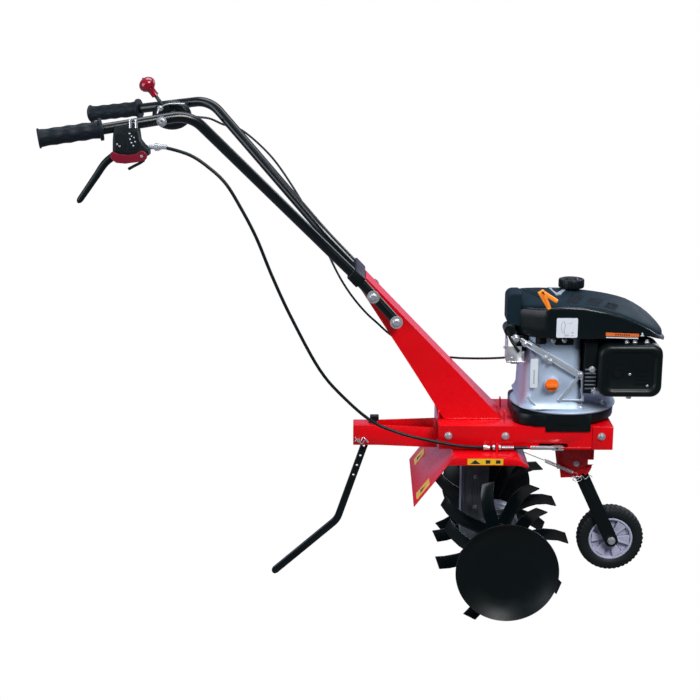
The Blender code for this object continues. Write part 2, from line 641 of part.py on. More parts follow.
def belt_and_idler():
    inner = (INPUT_PULLEY_R - GROOVE_DEPTH + GAP, ENGINE_PULLEY_R - GROOVE_DEPTH + GAP)
    loops = [belt_outline(WORM_X, inner[0] + extra, CRANK_X, inner[1] + extra) for extra in (BELT_THICK,
            0.0)]
    place("drive_belt", outline_mesh(loops, BELT_Z[0] + 0.002, BELT_Z[1] - 0.002, "XY"), "rubber")
    pivot = joint_empty("idler_axis", (*IDLER_PIVOT, CLEVIS_Z))
    bar = ribbon([IDLER_CENTRE, IDLER_PIVOT], [0.014, 0.018])
    arm = place("idler_arm", outline_mesh([bar], CLEVIS_Z - 0.0015, CLEVIS_Z + 0.0015, "XY"), "zinc", pivot)
    tail = ribbon([IDLER_PIVOT, (CLEVIS_X, CLEVIS_Y)], [0.018, 0.010])
    join(arm, outline_mesh([tail], CLEVIS_Z - 0.0015, CLEVIS_Z + 0.0015, "XY"))
    axle = (*IDLER_CENTRE, CLEVIS_Z)
    join(arm, rod_mesh(axle, (*IDLER_CENTRE, BELT_Z[1] + 0.004), 0.004, 16))
    z0, z1 = BELT_Z[0] - 0.003, BELT_Z[1] + 0.003
    ring = [(0.004 + GAP, z0), (0.015, z0), (0.0135, z0 + 0.003), (0.0135, z1 - 0.003), (0.015, z1),
            (0.004 + GAP, z1)]
    spin = joint_empty("idler_pulley_axis", axle)
    turned("idler_pulley", ring, (*IDLER_CENTRE, 0), (0, 0, 1), "steel", spin, 24)
    slide = joint_empty("clevis_axis", (CLEVIS_X, CLEVIS_Y, CLEVIS_Z))
    clevis = place("clutch_clevis", rod_mesh((0.353, CLEVIS_Y, CLEVIS_Z), (0.402, CLEVIS_Y, CLEVIS_Z),
                                             0.0045),
                   "zinc", slide)
    join(clevis, box_mesh((0.400, CLEVIS_Y - 0.006, CLEVIS_Z - 0.0042),
                          (0.424, CLEVIS_Y + 0.006, CLEVIS_Z + 0.0042)))
    cut(clevis, box_mesh((0.407, CLEVIS_Y - 0.02, CLEVIS_Z - 0.0022),
                         (0.43, CLEVIS_Y + 0.02, CLEVIS_Z + 0.0022)))


# ---- engine -------------------------------------------------------------------------------
def engine_base():
    ring = [(0.024, 0.3945), (0.098, 0.3945), (0.1125, 0.4000), (0.1135, 0.4225), (0.024, 0.4225)]
    adapter = turned("engine_adapter", ring, (CRANK_X, 0, 0), (0, 0, 1), "black_plastic", steps=32)
    join(adapter, outline_mesh([rounded_rect(0.3185, 0.434, -0.108, 0.108, 0.045)], 0.3945, 0.4215, "XY"))
    join(adapter, box_mesh((0.386, -0.1085, 0.383), (0.484, -BODY_Y - GAP, 0.4215)))
    cut(adapter, rod_mesh((CRANK_X, 0, 0.39), (CRANK_X, 0, 0.43), 0.024, 32))
    flange = [(0.020, 0.4230), (0.117, 0.4230), (0.1175, 0.4285), (0.110, 0.4335), (0.080, 0.4375),
              (0.020, 0.4375)]
    case = turned("crankcase", flange, (CRANK_X, 0, 0), (0, 0, 1), "aluminium", steps=32)
    join(case, outline_mesh([rounded_rect(0.337, 0.463, -0.098, 0.098, 0.030)], 0.4335, 0.5960, "XY"))
    join(case, outline_mesh([circle((0.395, 0.489), 0.0190, 24)], -0.106, -0.095))
    cut(case, outline_mesh([rounded_rect(0.345, 0.455, -0.090, 0.090, 0.024)], 0.4435, 0.5880, "XY"))
    for low, high in ((0.41, 0.45), (0.58, 0.61)):
        cut(case, rod_mesh((CRANK_X, 0, low), (CRANK_X, 0, high), 0.020, 24))


def engine_cylinder():
    obj = place("engine_cylinder", box_mesh((0.4635, -0.050, 0.470), (0.600, 0.062, 0.586)), "aluminium")
    for i in range(7):
        x = 0.474 + 0.012 * i
        for low, high in (((x, -0.06, 0.46), (x + 0.006, -0.035, 0.60)),
                          ((x, 0.047, 0.46), (x + 0.006, 0.07, 0.60))):
            cut(obj, box_mesh(low, high))


def shroud_plan(inset):
    """Plan outline of the cowl: square towards the operator, tapering forwards."""
    x0, x1, half = 0.316 + inset, 0.653 - inset, 0.132 - inset
    corner = [(x0, 0, 0), (x0, 0.050 - half, 0), (x0 + 0.064, -half, 0), (0.520, -half, 0)]
    right = [tuple(p.xy) for p in fillet_path(corner, [0.020, 0.060], 4)[1:-1]]
    front = [(0.520, -half), (0.575, -half * 0.93), (0.615, -half * 0.80)]
    nose = arc((x1 - 0.055, -half * 0.80 + 0.070), 0.055, -62, 0, 5)
    outline = right + front + nose
    return outline + [(x, -y) for x, y in reversed(outline)]


def band(lower, upper):
    return list(lower) + list(reversed(upper))


def shroud():
    floor = [(0.300, SHROUD_Z0), (0.600, SHROUD_Z0), (0.670, 0.566)]
    side = outline_mesh([band(floor, [(0.300, 0.655), *SHROUD_RIDGE, (0.670, 0.569)])], -0.2, 0.2)
    obj = place("engine_shroud", outline_mesh([shroud_plan(0.0)], 0.55, 0.70, "XY"), "black_plastic")
    cut(obj, outline_mesh([shroud_plan(0.003)], 0.54, 0.71, "XY"))
    cut(obj, side, "INTERSECT")


def top_cover():
    ridge = [(x, z + GAP) for x, z in SHROUD_RIDGE] + [(0.670, 0.570)]
    rim = [(0.300, 0.6555), *ridge]
    top = [(0.300, 0.6785), *SHROUD_TOP, (0.670, 0.5740)]
    obj = place("shroud_top_cover", outline_mesh([shroud_plan(0.0)], 0.55, 0.70, "XY"), "black_plastic")
    cut(obj, outline_mesh([band(rim, top)], -0.2, 0.2), "INTERSECT")
    under = [(x, z - 0.004) for x, z in SHROUD_TOP[:-2]]
    hollow = place("top_cover_hollow", outline_mesh([shroud_plan(0.012)], 0.55, 0.70, "XY"))
    cut(hollow, outline_mesh([[(0.300, 0.60), (0.607, 0.60), *reversed(under[:-1]), (0.300, 0.6745)]], -0.2,
                             0.2),
        "INTERSECT")
    modifier = obj.modifiers.new("hollow", "BOOLEAN")
    modifier.operation = "DIFFERENCE"
    modifier.solver = "EXACT"
    modifier.object = hollow


def engine_fittings():
    guard = place("muffler_guard",
                  outline_mesh([rounded_rect(0.4915, 0.6305, 0.466, 0.584, 0.022)], -0.130, -0.053),
                  "black_paint")
    bevel(guard, 0.006)
    cut(guard, outline_mesh([rounded_rect(0.4945, 0.6275, 0.469, 0.581, 0.019)], -0.1265, -0.040))
    cut(guard, outline_mesh([circle((0.534, 0.521), 0.010, 20)], -0.14, -0.12))
    for i in range(4):
        cut(guard, outline_mesh([rounded_rect(0.572, 0.604, 0.495 + 0.010 * i, 0.500 + 0.010 * i, 0.002, 3)],
                                -0.14, -0.12))
    filter_box = place("air_filter_cover", outline_mesh([rounded_rect(0.297, 0.3150, 0.615, 0.687, 0.008)],
                                                        -0.088, -0.020), "black_plastic")
    bevel(filter_box, 0.004)
    angle = [(0.296, 0.538), (0.3364, 0.538), (0.3364, 0.541), (0.299, 0.541), (0.299, 0.590),
             (0.296, 0.590)]
    bracket = place("control_bracket", outline_mesh([angle], -0.106, -0.062), "zinc")
    join(bracket, box_mesh((0.2975, -0.105, 0.5395), (0.328, -0.102, 0.574)))


def moving_engine_parts():
    crank = joint_empty("crank_axis", (CRANK_X, 0, BELT_Z[0]))
    place("crankshaft", rod_mesh((CRANK_X, 0, 0.346), (CRANK_X, 0, 0.640), 0.0125, 24), "steel", crank)
    pulley("engine_pulley", CRANK_X, ENGINE_PULLEY_R, 0.0125 + GAP, crank)
    cap = joint_empty("fuel_cap_axis", (0.445, 0, 0.680))
    knurl = []
    for i in range(18):
        for radius, shift in ((0.0285, -0.3), (0.0285, 0.3), (0.0265, 0.36), (0.0265, 0.64)):
            a = math.tau * (i + shift) / 18
            knurl.append((0.445 + radius * math.cos(a), radius * math.sin(a)))
    place("fuel_cap", outline_mesh([knurl], 0.6820, 0.7065, "XY"), "black_plastic", cap)
    oil = joint_empty("oil_cap_axis", (0.395, -0.107, 0.489))
    plug = place("oil_cap", rod_mesh((0.395, -0.1065, 0.489), (0.395, -0.1120, 0.489), 0.0145, 24),
                 "orange_plastic", oil)
    join(plug, box_mesh((0.382, -0.1200, 0.4855), (0.408, -0.1115, 0.4925)))
    pull = joint_empty("starter_axis", (0.377, -0.080, 0.678))
    long_arm = ribbon([(0.3580, 0.7050), (0.3805, 0.6645)], [0.0150, 0.0085])
    short_arm = ribbon([(0.3610, 0.7030), (0.3965, 0.6810)], [0.0100, 0.0085])
    handle = place("starter_handle", outline_mesh([long_arm], -0.144, -0.1350), "orange_plastic", pull)
    join(handle, outline_mesh([short_arm], -0.144, -0.1350))


# ---- controls -----------------------------------------------------------------------------
def controls():
    pivot = joint_empty("clutch_lever_axis", (LEVER_PIVOT.x, LEVER_Y, LEVER_PIVOT.y))
    blade = [LEVER_PIVOT, (-0.500, 1.006), (-0.5329, 0.9831), (-0.5522, 0.9542),
             (-0.5697, 0.9288), (-0.5882, 0.9053)]
    place("clutch_lever", outline_mesh([ribbon(blade, [0.016, 0.016, 0.015, 0.0135, 0.0125, 0.012])],
                                       LEVER_Y - 0.005, LEVER_Y + 0.005), "black_paint", pivot)
    catch_axis = joint_empty("safety_catch_axis", (CATCH_PIVOT.x, LEVER_Y, CATCH_PIVOT.y))
    tongue = [CATCH_PIVOT, (-0.475, 0.996), (-0.498, 0.993), (-0.512, 0.995)]
    place("safety_catch", outline_mesh([ribbon(tongue, [0.021, 0.019, 0.015, 0.009])],
                                       LEVER_Y - 0.0235, LEVER_Y - 0.0170), "crimson_plastic", catch_axis)
    y = -0.0165
    swing = joint_empty("throttle_axis", THROTTLE_PIVOT)
    offset = Vector((0, y, 0))
    lever = place("throttle_lever", rod_mesh(THROTTLE_PIVOT + Vector((0, -0.0125, 0)),
                                             THROTTLE_PIVOT + Vector((0, -0.0205, 0)), 0.010, 20), "zinc",
                                             swing)
    neck = THROTTLE_PIVOT.lerp(KNOB, 0.64)
    join(lever, rod_mesh(THROTTLE_PIVOT + offset, neck + offset, 0.0040, 12))
    along = (KNOB - THROTTLE_PIVOT).normalized()
    start = neck + along * GAP
    knob = place("throttle_knob", rod_mesh(start + offset, start + along * 0.014 + offset, 0.0075, 16),
                 "knob_red",
                 swing)
    ball = bmesh.new()
    bmesh.ops.create_uvsphere(ball, u_segments=16, v_segments=10, radius=0.0185,
                              matrix=Matrix.Translation(KNOB + offset))
    ball_mesh = bpy.data.meshes.new("ball")
    ball.to_mesh(ball_mesh)
    ball.free()
    join(knob, ball_mesh)


# ---- wheel and stake ----------------------------------------------------------------------
def transport_wheel():
    swing = joint_empty("wheel_arm_axis", WHEEL_PIVOT)
    bar = ribbon([WHEEL_PIVOT.xz, WHEEL_AXLE.xz], [0.031, 0.031], 7)
    arm = place("wheel_arm", outline_mesh([bar], -FORK_IN - FORK_T, -FORK_IN), "black_paint", swing)
    join(arm, outline_mesh([bar], FORK_IN, FORK_IN + FORK_T))
    along = (WHEEL_AXLE - WHEEL_PIVOT).xz.normalized()
    web = WHEEL_PIVOT.xz + along * 0.052
    join(arm, outline_mesh([ribbon([web, web + along * 0.018], [0.006, 0.006])], -FORK_IN - 0.001,
                           FORK_IN + 0.001))
    for centre in (WHEEL_PIVOT, WHEEL_AXLE):
        cut(arm, rod_mesh(centre - Vector((0, 0.1, 0)), centre + Vector((0, 0.1, 0)), 0.0046, 16))
    for name, centre, reach, parent in (("wheel_pivot_bolt", WHEEL_PIVOT, 0.0330, None),
                                        ("wheel_axle_bolt", WHEEL_AXLE, 0.0290, swing)):
        half = Vector((0, reach, 0))
        head = Vector((0, 0.005, 0))
        bolt = place(name, rod_mesh(centre - half, centre + half, 0.0040, 16), "zinc", parent)
        join(bolt, rod_mesh(centre - half - head, centre - half + head * 0.1, 0.0085, 6))
        join(bolt, rod_mesh(centre + half - head * 0.1, centre + half + head, 0.0085, 6))
    spin = joint_empty("wheel_axis", WHEEL_AXLE)
    tyre = [(0.0505, -0.014), (0.058, -0.019), (0.068, -0.019), (0.0740, -0.015), (WHEEL_R, -0.006),
            (WHEEL_R, 0.006), (0.0740, 0.015), (0.068, 0.019), (0.058, 0.019), (0.0505, 0.014)]
    turned("wheel_tyre", tyre, WHEEL_AXLE, (0, 1, 0), "rubber", spin, 32)
    rim = [(0.0045, -0.019), (0.014, -0.019), (0.015, -0.008), (0.044, -0.008), (0.0460, -0.014),
           (0.0500, -0.014), (0.0500, 0.014), (0.0460, 0.014), (0.044, 0.008), (0.015, 0.008),
           (0.014, 0.019), (0.0045, 0.019)]
    turned("wheel_rim", rim, WHEEL_AXLE, (0, 1, 0), "grey_plastic", spin, 32)


def wheel_spring():
    start, stop = Vector((0.3972, -0.038, 0.2914)), Vector((0.4617, -0.038, 0.2633))
    along = (stop - start).normalized()
    side = Vector((0, 1, 0))
    up = along.cross(side)
    turns, per_turn, radius = 10, 7, 0.0036
    coil = []
    for i in range(turns * per_turn + 1):
        a = math.tau * i / per_turn
        coil.append(start.lerp(stop,
                               i / (turns * per_turn)) + (side * math.sin(a) + up * math.cos(a)) * radius)
    wire = [Vector((0.3489, -0.038, 0.3114)), start - along * 0.004] + coil + [stop + along * 0.003]
    place("wheel_spring", tube_mesh(wire, 0.0009, 6), "zinc")


def stake():
    axis = joint_empty("stake_axis", (STAKE_TOP.x, 0, STAKE_TOP.y))
    bend = fillet_path([(*STAKE_TOP, 0), (*STAKE_BEND, 0), (*STAKE_TIP, 0)], [0.050], 6)
    outline = ribbon([p.xy for p in bend], [STAKE_W] * len(bend))
    bar = place("drag_stake", outline_mesh([outline], -0.005, 0.005), "black_paint", axis)
    along = (STAKE_TOP - STAKE_BEND).normalized()
    for i in range(4):
        spot = STAKE_TOP - along * (0.045 + 0.0245 * (i + 1))
        cut(bar, outline_mesh([circle(spot, 0.0030, 12)], -0.02, 0.02))


clear_scene()
TILLER = new_collection("tiller")
CUTTERS = new_collection("cutters")
for build_part in (body_shell, front_end_plate, mast, rear_bracket, tine_guard, wheel_bracket, handlebars,
                   grips,
                   handle_bolts, cross_brace, throttle_quadrant, clutch_housing, cables, gearcase,
                   tine_rotor,
                   worm_drive, belt_and_idler, engine_base, engine_cylinder, shroud, top_cover,
                   engine_fittings, moving_engine_parts, controls, transport_wheel, wheel_spring, stake):
    build_part()
for piece in [*TILLER.objects, *CUTTERS.objects]:
    if not piece.parent:
        piece.location += SHIFT
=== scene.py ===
import math

import bmesh
import bpy
from mathutils import Matrix, Vector


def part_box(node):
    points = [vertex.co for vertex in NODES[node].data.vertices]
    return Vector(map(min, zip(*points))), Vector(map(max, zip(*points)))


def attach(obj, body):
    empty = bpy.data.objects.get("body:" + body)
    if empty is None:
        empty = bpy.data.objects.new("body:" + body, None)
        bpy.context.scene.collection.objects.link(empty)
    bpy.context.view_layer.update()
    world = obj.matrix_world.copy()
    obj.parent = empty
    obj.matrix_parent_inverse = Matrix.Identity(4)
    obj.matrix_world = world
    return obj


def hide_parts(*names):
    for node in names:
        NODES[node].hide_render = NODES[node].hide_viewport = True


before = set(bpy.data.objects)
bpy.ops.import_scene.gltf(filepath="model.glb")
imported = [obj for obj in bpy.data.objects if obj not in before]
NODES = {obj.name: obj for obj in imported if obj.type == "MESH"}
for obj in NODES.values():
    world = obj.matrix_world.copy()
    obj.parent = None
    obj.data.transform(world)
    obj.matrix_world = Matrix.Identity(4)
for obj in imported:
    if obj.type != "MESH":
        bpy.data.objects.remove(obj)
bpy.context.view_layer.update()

# ---- sizes, in metres, in the CAD model's own frame -----------------------------------------
CAMERA_AT = Vector((-0.012, -3.030, 1.328))
CAMERA_TURN, CAMERA_TILT = 0.59, 14.61      # degrees
CAMERA_LENS = 72.0

SHIFT = Vector((0.003, 0.0, 0.025))         # the sizes below are from before the CAD was centred
TUBE_R = 0.011
GRIP_END = Vector((-0.6542, -0.2725, 1.0363))
GRIP_START = Vector((-0.5308, -0.2404, 1.0518))
TUBE_CORNERS = (GRIP_START, Vector((-0.3636, -0.1850, 1.0751)), Vector((-0.1013, -0.0660, 0.7901)),
                Vector((-0.0342, -0.0560, 0.7215)), Vector((0.0041, -0.0520, 0.6779)),
                Vector((0.0651, -0.0520, 0.6100)))
TUBE_RADII = (0.2, 0.070, 0.3, 0.15, 0.15)
HANDLE_BOLTS = ((0.008, 0.6737), (0.0585, 0.6174))
LEVER_Y = -0.2315
LEVER_BENDS = ((-0.478, 1.018), (-0.500, 1.006), (-0.5290, 0.9850), (-0.5500, 0.9570), (-0.5715, 0.9275),
               (-0.5893, 0.9035))
CATCH_PIVOT = (-0.453, 1.000)               # places written as pairs are x and z
MAST_FOOT = 0.0540                          # half width

CRANK_X = 0.434
TINE_AXLE = Vector((0.293, 0.0, 0.1220))
WHEEL_AXLE = Vector((0.5565, 0.0, 0.0945))
WHEEL_PIVOT = Vector((0.468, 0.0, 0.283))

SHROUD_RIDGE = ((0.310, 0.6550), (0.337, 0.6605), (0.360, 0.6620), (0.388, 0.6665), (0.416, 0.6695),
                (0.457, 0.6672), (0.503, 0.6580), (0.537, 0.6470), (0.572, 0.6305), (0.601, 0.6145),
                (0.642, 0.5845), (0.653, 0.5785))
SHROUD_TOP = ((0.310, 0.6790), (0.368, 0.6825), (0.420, 0.6810), (0.4735, 0.6775), (0.506, 0.6732),
              (0.539, 0.6667), (0.565, 0.6587), (0.591, 0.6456), (0.617, 0.6263), (0.634, 0.6090),
              (0.648, 0.5918), (0.6535, 0.5830))

# The two held cables lie where their CAD solids lie.
CLUTCH_CABLE = ((-0.4390, -0.2315, 1.0155), (-0.415, -0.235, 1.016), (-0.360, -0.235, 1.000),
                (-0.319, -0.235, 0.972), (-0.289, -0.235, 0.942), (-0.263, -0.230, 0.897),
                (-0.232, -0.220, 0.832), (-0.201, -0.200, 0.745), (-0.163, -0.180, 0.652),
                (-0.106, -0.150, 0.533), (-0.053, -0.128, 0.463), (0.008, -0.114, 0.406),
                (0.074, -0.114, 0.378), (0.146, -0.115, 0.361), (0.210, -0.115, 0.3505),
                (0.290, -0.115, 0.348), (0.3470, -0.115, 0.348))
THROTTLE_CABLE = ((-0.3795, 0.000, 1.0545), (-0.3738, 0.050, 1.0491), (-0.3568, 0.120, 1.0395),
                  (-0.3340, 0.185, 1.0205), (-0.3121, 0.212, 1.0120), (-0.2899, 0.218, 1.0010),
                  (-0.2525, 0.205, 0.9718), (-0.2172, 0.185, 0.9375), (-0.1819, 0.160, 0.8915),
                  (-0.1469, 0.132, 0.8396), (-0.1169, 0.110, 0.7882), (-0.0894, 0.090, 0.7306),
                  (-0.0678, 0.078, 0.6892), (-0.0462, 0.070, 0.6558), (-0.0248, 0.063, 0.6289),
                  (-0.0033, 0.058, 0.6060), (0.0183, 0.055, 0.5869), (0.0463, 0.053, 0.5621),
                  (0.0926, 0.052, 0.5320), (0.1428, 0.050, 0.5139), (0.1963, 0.046, 0.5087),
                  (0.2273, 0.025, 0.5130), (0.2585, -0.005, 0.5209), (0.2813, -0.045, 0.5325),
                  (0.2925, -0.085, 0.5440))


# ---- materials ------------------------------------------------------------------------------
def link(tree, source, target):
    tree.links.new(source, target)


def new_node(tree, kind, values=None):
    """Adds a shader node and sets its sockets by name."""
    made = tree.nodes.new(kind)
    for socket, value in (values or {}).items():
        made.inputs[socket].default_value = value
    return made


def noise_node(tree, scale, detail=3.0, roughness=0.55):
    place = tree.nodes.new("ShaderNodeTexCoord")
    made = new_node(tree, "ShaderNodeTexNoise", {"Scale": scale, "Detail": detail, "Roughness": roughness})
    link(tree, place.outputs["Object"], made.inputs["Vector"])
    return made


def ramp_node(tree, source, low, high, start=0.3, stop=0.7):
    made = tree.nodes.new("ShaderNodeValToRGB")
    made.color_ramp.elements[0].position = start
    made.color_ramp.elements[1].position = stop
    made.color_ramp.elements[0].color = low
    made.color_ramp.elements[1].color = high
    link(tree, source, made.inputs["Fac"])
    return made


def finish(name, colour, second, rough, metal=0.0, coat=0.0, mottle=8.0, grain=900.0, bump=0.05,
           grain_depth=0.0004, rough_spread=0.06, specular=0.5, coat_rough=0.08):
    """A Principled material with colour mottling, uneven gloss and a fine grain in its bump."""
    made = bpy.data.materials.new(name)
    made.use_nodes = True
    tree = made.node_tree
    shader = tree.nodes["Principled BSDF"]
    shader.inputs["Metallic"].default_value = metal
    shader.inputs["Coat Weight"].default_value = coat
    shader.inputs["Coat Roughness"].default_value = coat_rough
    shader.inputs["Specular IOR Level"].default_value = specular
    cloud = noise_node(tree, mottle, 4.0)
    tint = ramp_node(tree, cloud.outputs["Fac"], (*colour, 1.0), (*second, 1.0))
    link(tree, tint.outputs["Color"], shader.inputs["Base Color"])
    smear = noise_node(tree, mottle * 3.1, 5.0, 0.65)
    gloss = new_node(tree, "ShaderNodeMapRange",
                     {"From Min": 0.3, "From Max": 0.7, "To Min": max(rough - rough_spread, 0.03),
                      "To Max": rough + rough_spread})
    link(tree, smear.outputs["Fac"], gloss.inputs["Value"])
    link(tree, gloss.outputs["Result"], shader.inputs["Roughness"])
    fine = noise_node(tree, grain, 2.0)
    relief = new_node(tree, "ShaderNodeBump", {"Strength": bump, "Distance": grain_depth})
    link(tree, fine.outputs["Fac"], relief.inputs["Height"])
    link(tree, relief.outputs["Normal"], shader.inputs["Normal"])
    return made


FINISHES = {
    "red_paint": ((0.600, 0.0004, 0.0036), (0.660, 0.0008, 0.0052), 0.28,
                  dict(coat=0.06, grain=120.0, bump=0.03, specular=0.36, coat_rough=0.12)),
    "black_paint": ((0.0012, 0.0034, 0.0040), (0.0020, 0.0046, 0.0054), 0.24,
                    dict(grain=200.0, bump=0.0, rough_spread=0.02, specular=0.42)),
    "satin_black": ((0.0016, 0.0040, 0.0045), (0.0026, 0.0054, 0.0060), 0.38,
                    dict(grain=500.0, bump=0.03, specular=0.22)),
    "black_plastic": ((0.0026, 0.0058, 0.0072), (0.0038, 0.0074, 0.0090), 0.42, dict(specular=0.24)),
    "cowl_plastic": ((0.0014, 0.0042, 0.0052), (0.0022, 0.0054, 0.0066), 0.26,
                     dict(coat=0.04, grain=700.0, bump=0.02, specular=0.28)),
    "cover_plastic": ((0.0070, 0.0165, 0.0235), (0.0090, 0.0200, 0.0285), 0.52,
                      dict(grain=800.0, bump=0.06, specular=0.03)),
    "rubber": ((0.0026, 0.0062, 0.0105), (0.0042, 0.0084, 0.0135), 0.56, dict(bump=0.08, specular=0.20)),
    "tyre_rubber": ((0.0030, 0.0052, 0.0062), (0.0052, 0.0078, 0.0090), 0.66,
                    dict(grain=600.0, bump=0.22, rough_spread=0.10, specular=0.30)),
    "zinc": ((0.60, 0.62, 0.66), (0.74, 0.75, 0.77), 0.30,
             dict(metal=0.80, grain=500.0, bump=0.03, rough_spread=0.08)),
    "steel": ((0.22, 0.23, 0.25), (0.33, 0.34, 0.35), 0.34,
              dict(metal=1.0, grain=500.0, bump=0.04, rough_spread=0.08)),
    "cast_aluminium": ((0.42, 0.52, 0.65), (0.53, 0.63, 0.76), 0.62,
                       dict(metal=0.80, mottle=11.0, grain=210.0, bump=0.14, grain_depth=0.0008,
                            rough_spread=0.10)),
    "flange_aluminium": ((0.52, 0.58, 0.66), (0.62, 0.68, 0.76), 0.38,
                         dict(metal=0.65, mottle=14.0, grain=300.0, bump=0.06)),
    "gear_aluminium": ((0.140, 0.160, 0.190), (0.260, 0.285, 0.320), 0.46,
                       dict(metal=0.9, mottle=16.0, grain=200.0, bump=0.16, grain_depth=0.0009,
                            rough_spread=0.10)),
    "orange_plastic": ((0.84, 0.230, 0.012), (0.90, 0.290, 0.024), 0.36, dict(grain=600.0)),
    # Dark orange: the oil cap's own colour, and also painted shade in the starter handle's hollow.
    "dark_orange_and_hollow_shade": ((0.78, 0.140, 0.008), (0.84, 0.175, 0.012), 0.36, dict(grain=600.0)),
    "crimson_plastic": ((0.135, 0.0022, 0.0130), (0.165, 0.0034, 0.0180), 0.36,
                        dict(grain=700.0, bump=0.08, specular=0.40)),
    "grey_plastic": ((0.390, 0.400, 0.530), (0.450, 0.460, 0.590), 0.36, dict(grain=600.0, bump=0.06)),
    "knob_red": ((0.210, 0.0008, 0.0105), (0.250, 0.0014, 0.0135), 0.20,
                 dict(coat=0.2, grain=300.0, bump=0.01)),
    "label_white": ((0.60, 0.64, 0.70), (0.66, 0.69, 0.74), 0.34, dict(bump=0.03)),
    "label_yellow": ((0.72, 0.42, 0.012), (0.80, 0.48, 0.020), 0.36, dict(bump=0.03)),
    "label_ink": ((0.012, 0.012, 0.014), (0.020, 0.020, 0.022), 0.45, dict(bump=0.03)),
    "label_grey": ((0.24, 0.27, 0.30), (0.32, 0.35, 0.38), 0.34, dict(bump=0.03)),
    "label_lilac": ((0.20, 0.17, 0.27), (0.26, 0.22, 0.33), 0.34, dict(bump=0.03)),
    "label_orange": ((0.62, 0.115, 0.022), (0.70, 0.150, 0.030), 0.38, dict(bump=0.03)),
    # Flat near-black used as painted shade, laid where a slot, the cover's vents and the muffler outlet are
    # dark only with shade.
    "painted_shade_black": ((0.0015, 0.0019, 0.0023), (0.0028, 0.0032, 0.0037), 0.80,
                     dict(bump=0.03, specular=0.15)),
}
MATERIALS = {name: finish(name, *colours_and_gloss, **more)
             for name, (*colours_and_gloss, more) in FINISHES.items()}


# ---- mesh helpers ---------------------------------------------------------------------------
def polar(radius, angle):
    return radius * math.cos(angle), radius * math.sin(angle)


def moved(points, right, up):
    return [(right + x, up + z) for x, z in points]


def towards(axis):
    return Vector(axis).to_track_quat("Z", "Y").to_matrix().to_4x4()


def add_box(work, low, high, matrix=None):
    low, high = Vector(low), Vector(high)
    where = Matrix.Translation((low + high) / 2) @ Matrix.Diagonal((*(high - low), 1.0))
    bmesh.ops.create_cube(work, size=1.0, matrix=(matrix or Matrix.Identity(4)) @ where)


def add_rod(work, start, end, radius, sides=24, radius_end=None):
    start, end = Vector(start), Vector(end)
    where = Matrix.Translation((start + end) / 2) @ towards(end - start)
    bmesh.ops.create_cone(work, cap_ends=True, segments=sides, radius1=radius,
                          radius2=radius if radius_end is None else radius_end,
                          depth=(end - start).length, matrix=where)


def add_pin(work, spot, near, far, radius, sides=24, radius_end=None):
    """Rod across the machine at spot (x, z), from y = near to y = far."""
    add_rod(work, (spot[0], near, spot[1]), (spot[0], far, spot[1]), radius, sides, radius_end)


def add_loft(work, rings, caps=True):
    """Quads between rings of equal length; the first and last ring are capped unless said."""
    rows = [[work.verts.new(p) for p in ring] for ring in rings]
    count = len(rows[0])
    for near, far in zip(rows, rows[1:]):
        for i in range(count):
            j = (i + 1) % count
            work.faces.new((near[i], near[j], far[j], far[i]))
    if caps:
        work.faces.new(list(reversed(rows[0])))
        work.faces.new(rows[-1])


def add_turned(work, profile, origin, axis, steps=48, wave=None):
    """Closed (radius, height) profile turned about an axis; wave(angle, radius, height) changes a radius."""
    matrix = Matrix.Translation(origin) @ towards(axis)
    rows = []
    for step in range(steps):
        a = math.tau * step / steps
        row = []
        for radius, height in profile:
            r = wave(a, radius, height) if wave else radius
            row.append(matrix @ Vector((*polar(r, a), height)))
        rows.append([work.verts.new(p) for p in row])
    count = len(profile)
    for s in range(steps):
        here, there = rows[s], rows[(s + 1) % steps]
        for i in range(count):
            j = (i + 1) % count
            work.faces.new((here[i], there[i], there[j], here[j]))


def add_sweep(work, path, radius, sides=12, flat=1.0):
    """Round or oval tube along a path, with its section carried along without twist."""
    path = [Vector(p) for p in path]
    radii = radius if isinstance(radius, (list, tuple)) else [radius] * len(path)
    tangent = (path[1] - path[0]).normalized()
    side = tangent.orthogonal().normalized()
    if abs(tangent.y) < 0.9:
        side = Vector((0, 1, 0)) - tangent * tangent.y
        side.normalize()
    turn = [math.tau * k / sides for k in range(sides)]
    rings = []
    for i, point in enumerate(path):
        ahead = (path[min(i + 1, len(path) - 1)] - path[max(i - 1, 0)]).normalized()
        side = (side - ahead * side.dot(ahead)).normalized()
        up = ahead.cross(side)
        rings.append([point + (side * math.cos(a) * flat + up * math.sin(a)) * radii[i] for a in turn])
    add_loft(work, rings)


def add_prism(work, outline, near, far):
    """Flat outline of (x, z) points, from y = near to y = far."""
    add_loft(work, [[Vector((x, y, z)) for x, z in outline] for y in (near, far)])


def arc(centre, radius, start, stop, count):
    angles = [math.radians(start + (stop - start) * i / (count - 1)) for i in range(count)]
    return moved([polar(radius, a) for a in angles], *centre)


def rounded_rect(x0, x1, y0, y1, radius, count=7):
    corners = ((x1, y1, 0), (x0, y1, 90), (x0, y0, 180), (x1, y0, 270))
    points = []
    for x, y, start in corners:
        inward = (radius if x == x0 else -radius, radius if y == y0 else -radius)
        points += arc((x + inward[0], y + inward[1]), radius, start, start + 90, count)
    return points


def fillet_path(points, radii, count=12):
    points = [Vector(p) for p in points]
    path = [points[0]]
    for before, corner, after, radius in zip(points, points[1:], points[2:], radii):
        back = (before - corner).normalized()
        ahead = (after - corner).normalized()
        half = back.angle(ahead) / 2
        centre = corner + (back + ahead).normalized() * radius / math.sin(half)
        start = corner + back * radius / math.tan(half) - centre
        stop = corner + ahead * radius / math.tan(half) - centre
        for i in range(count):
            path.append(centre + start.normalized().slerp(stop.normalized(), i / (count - 1)) * radius)
    path.append(points[-1])
    return path


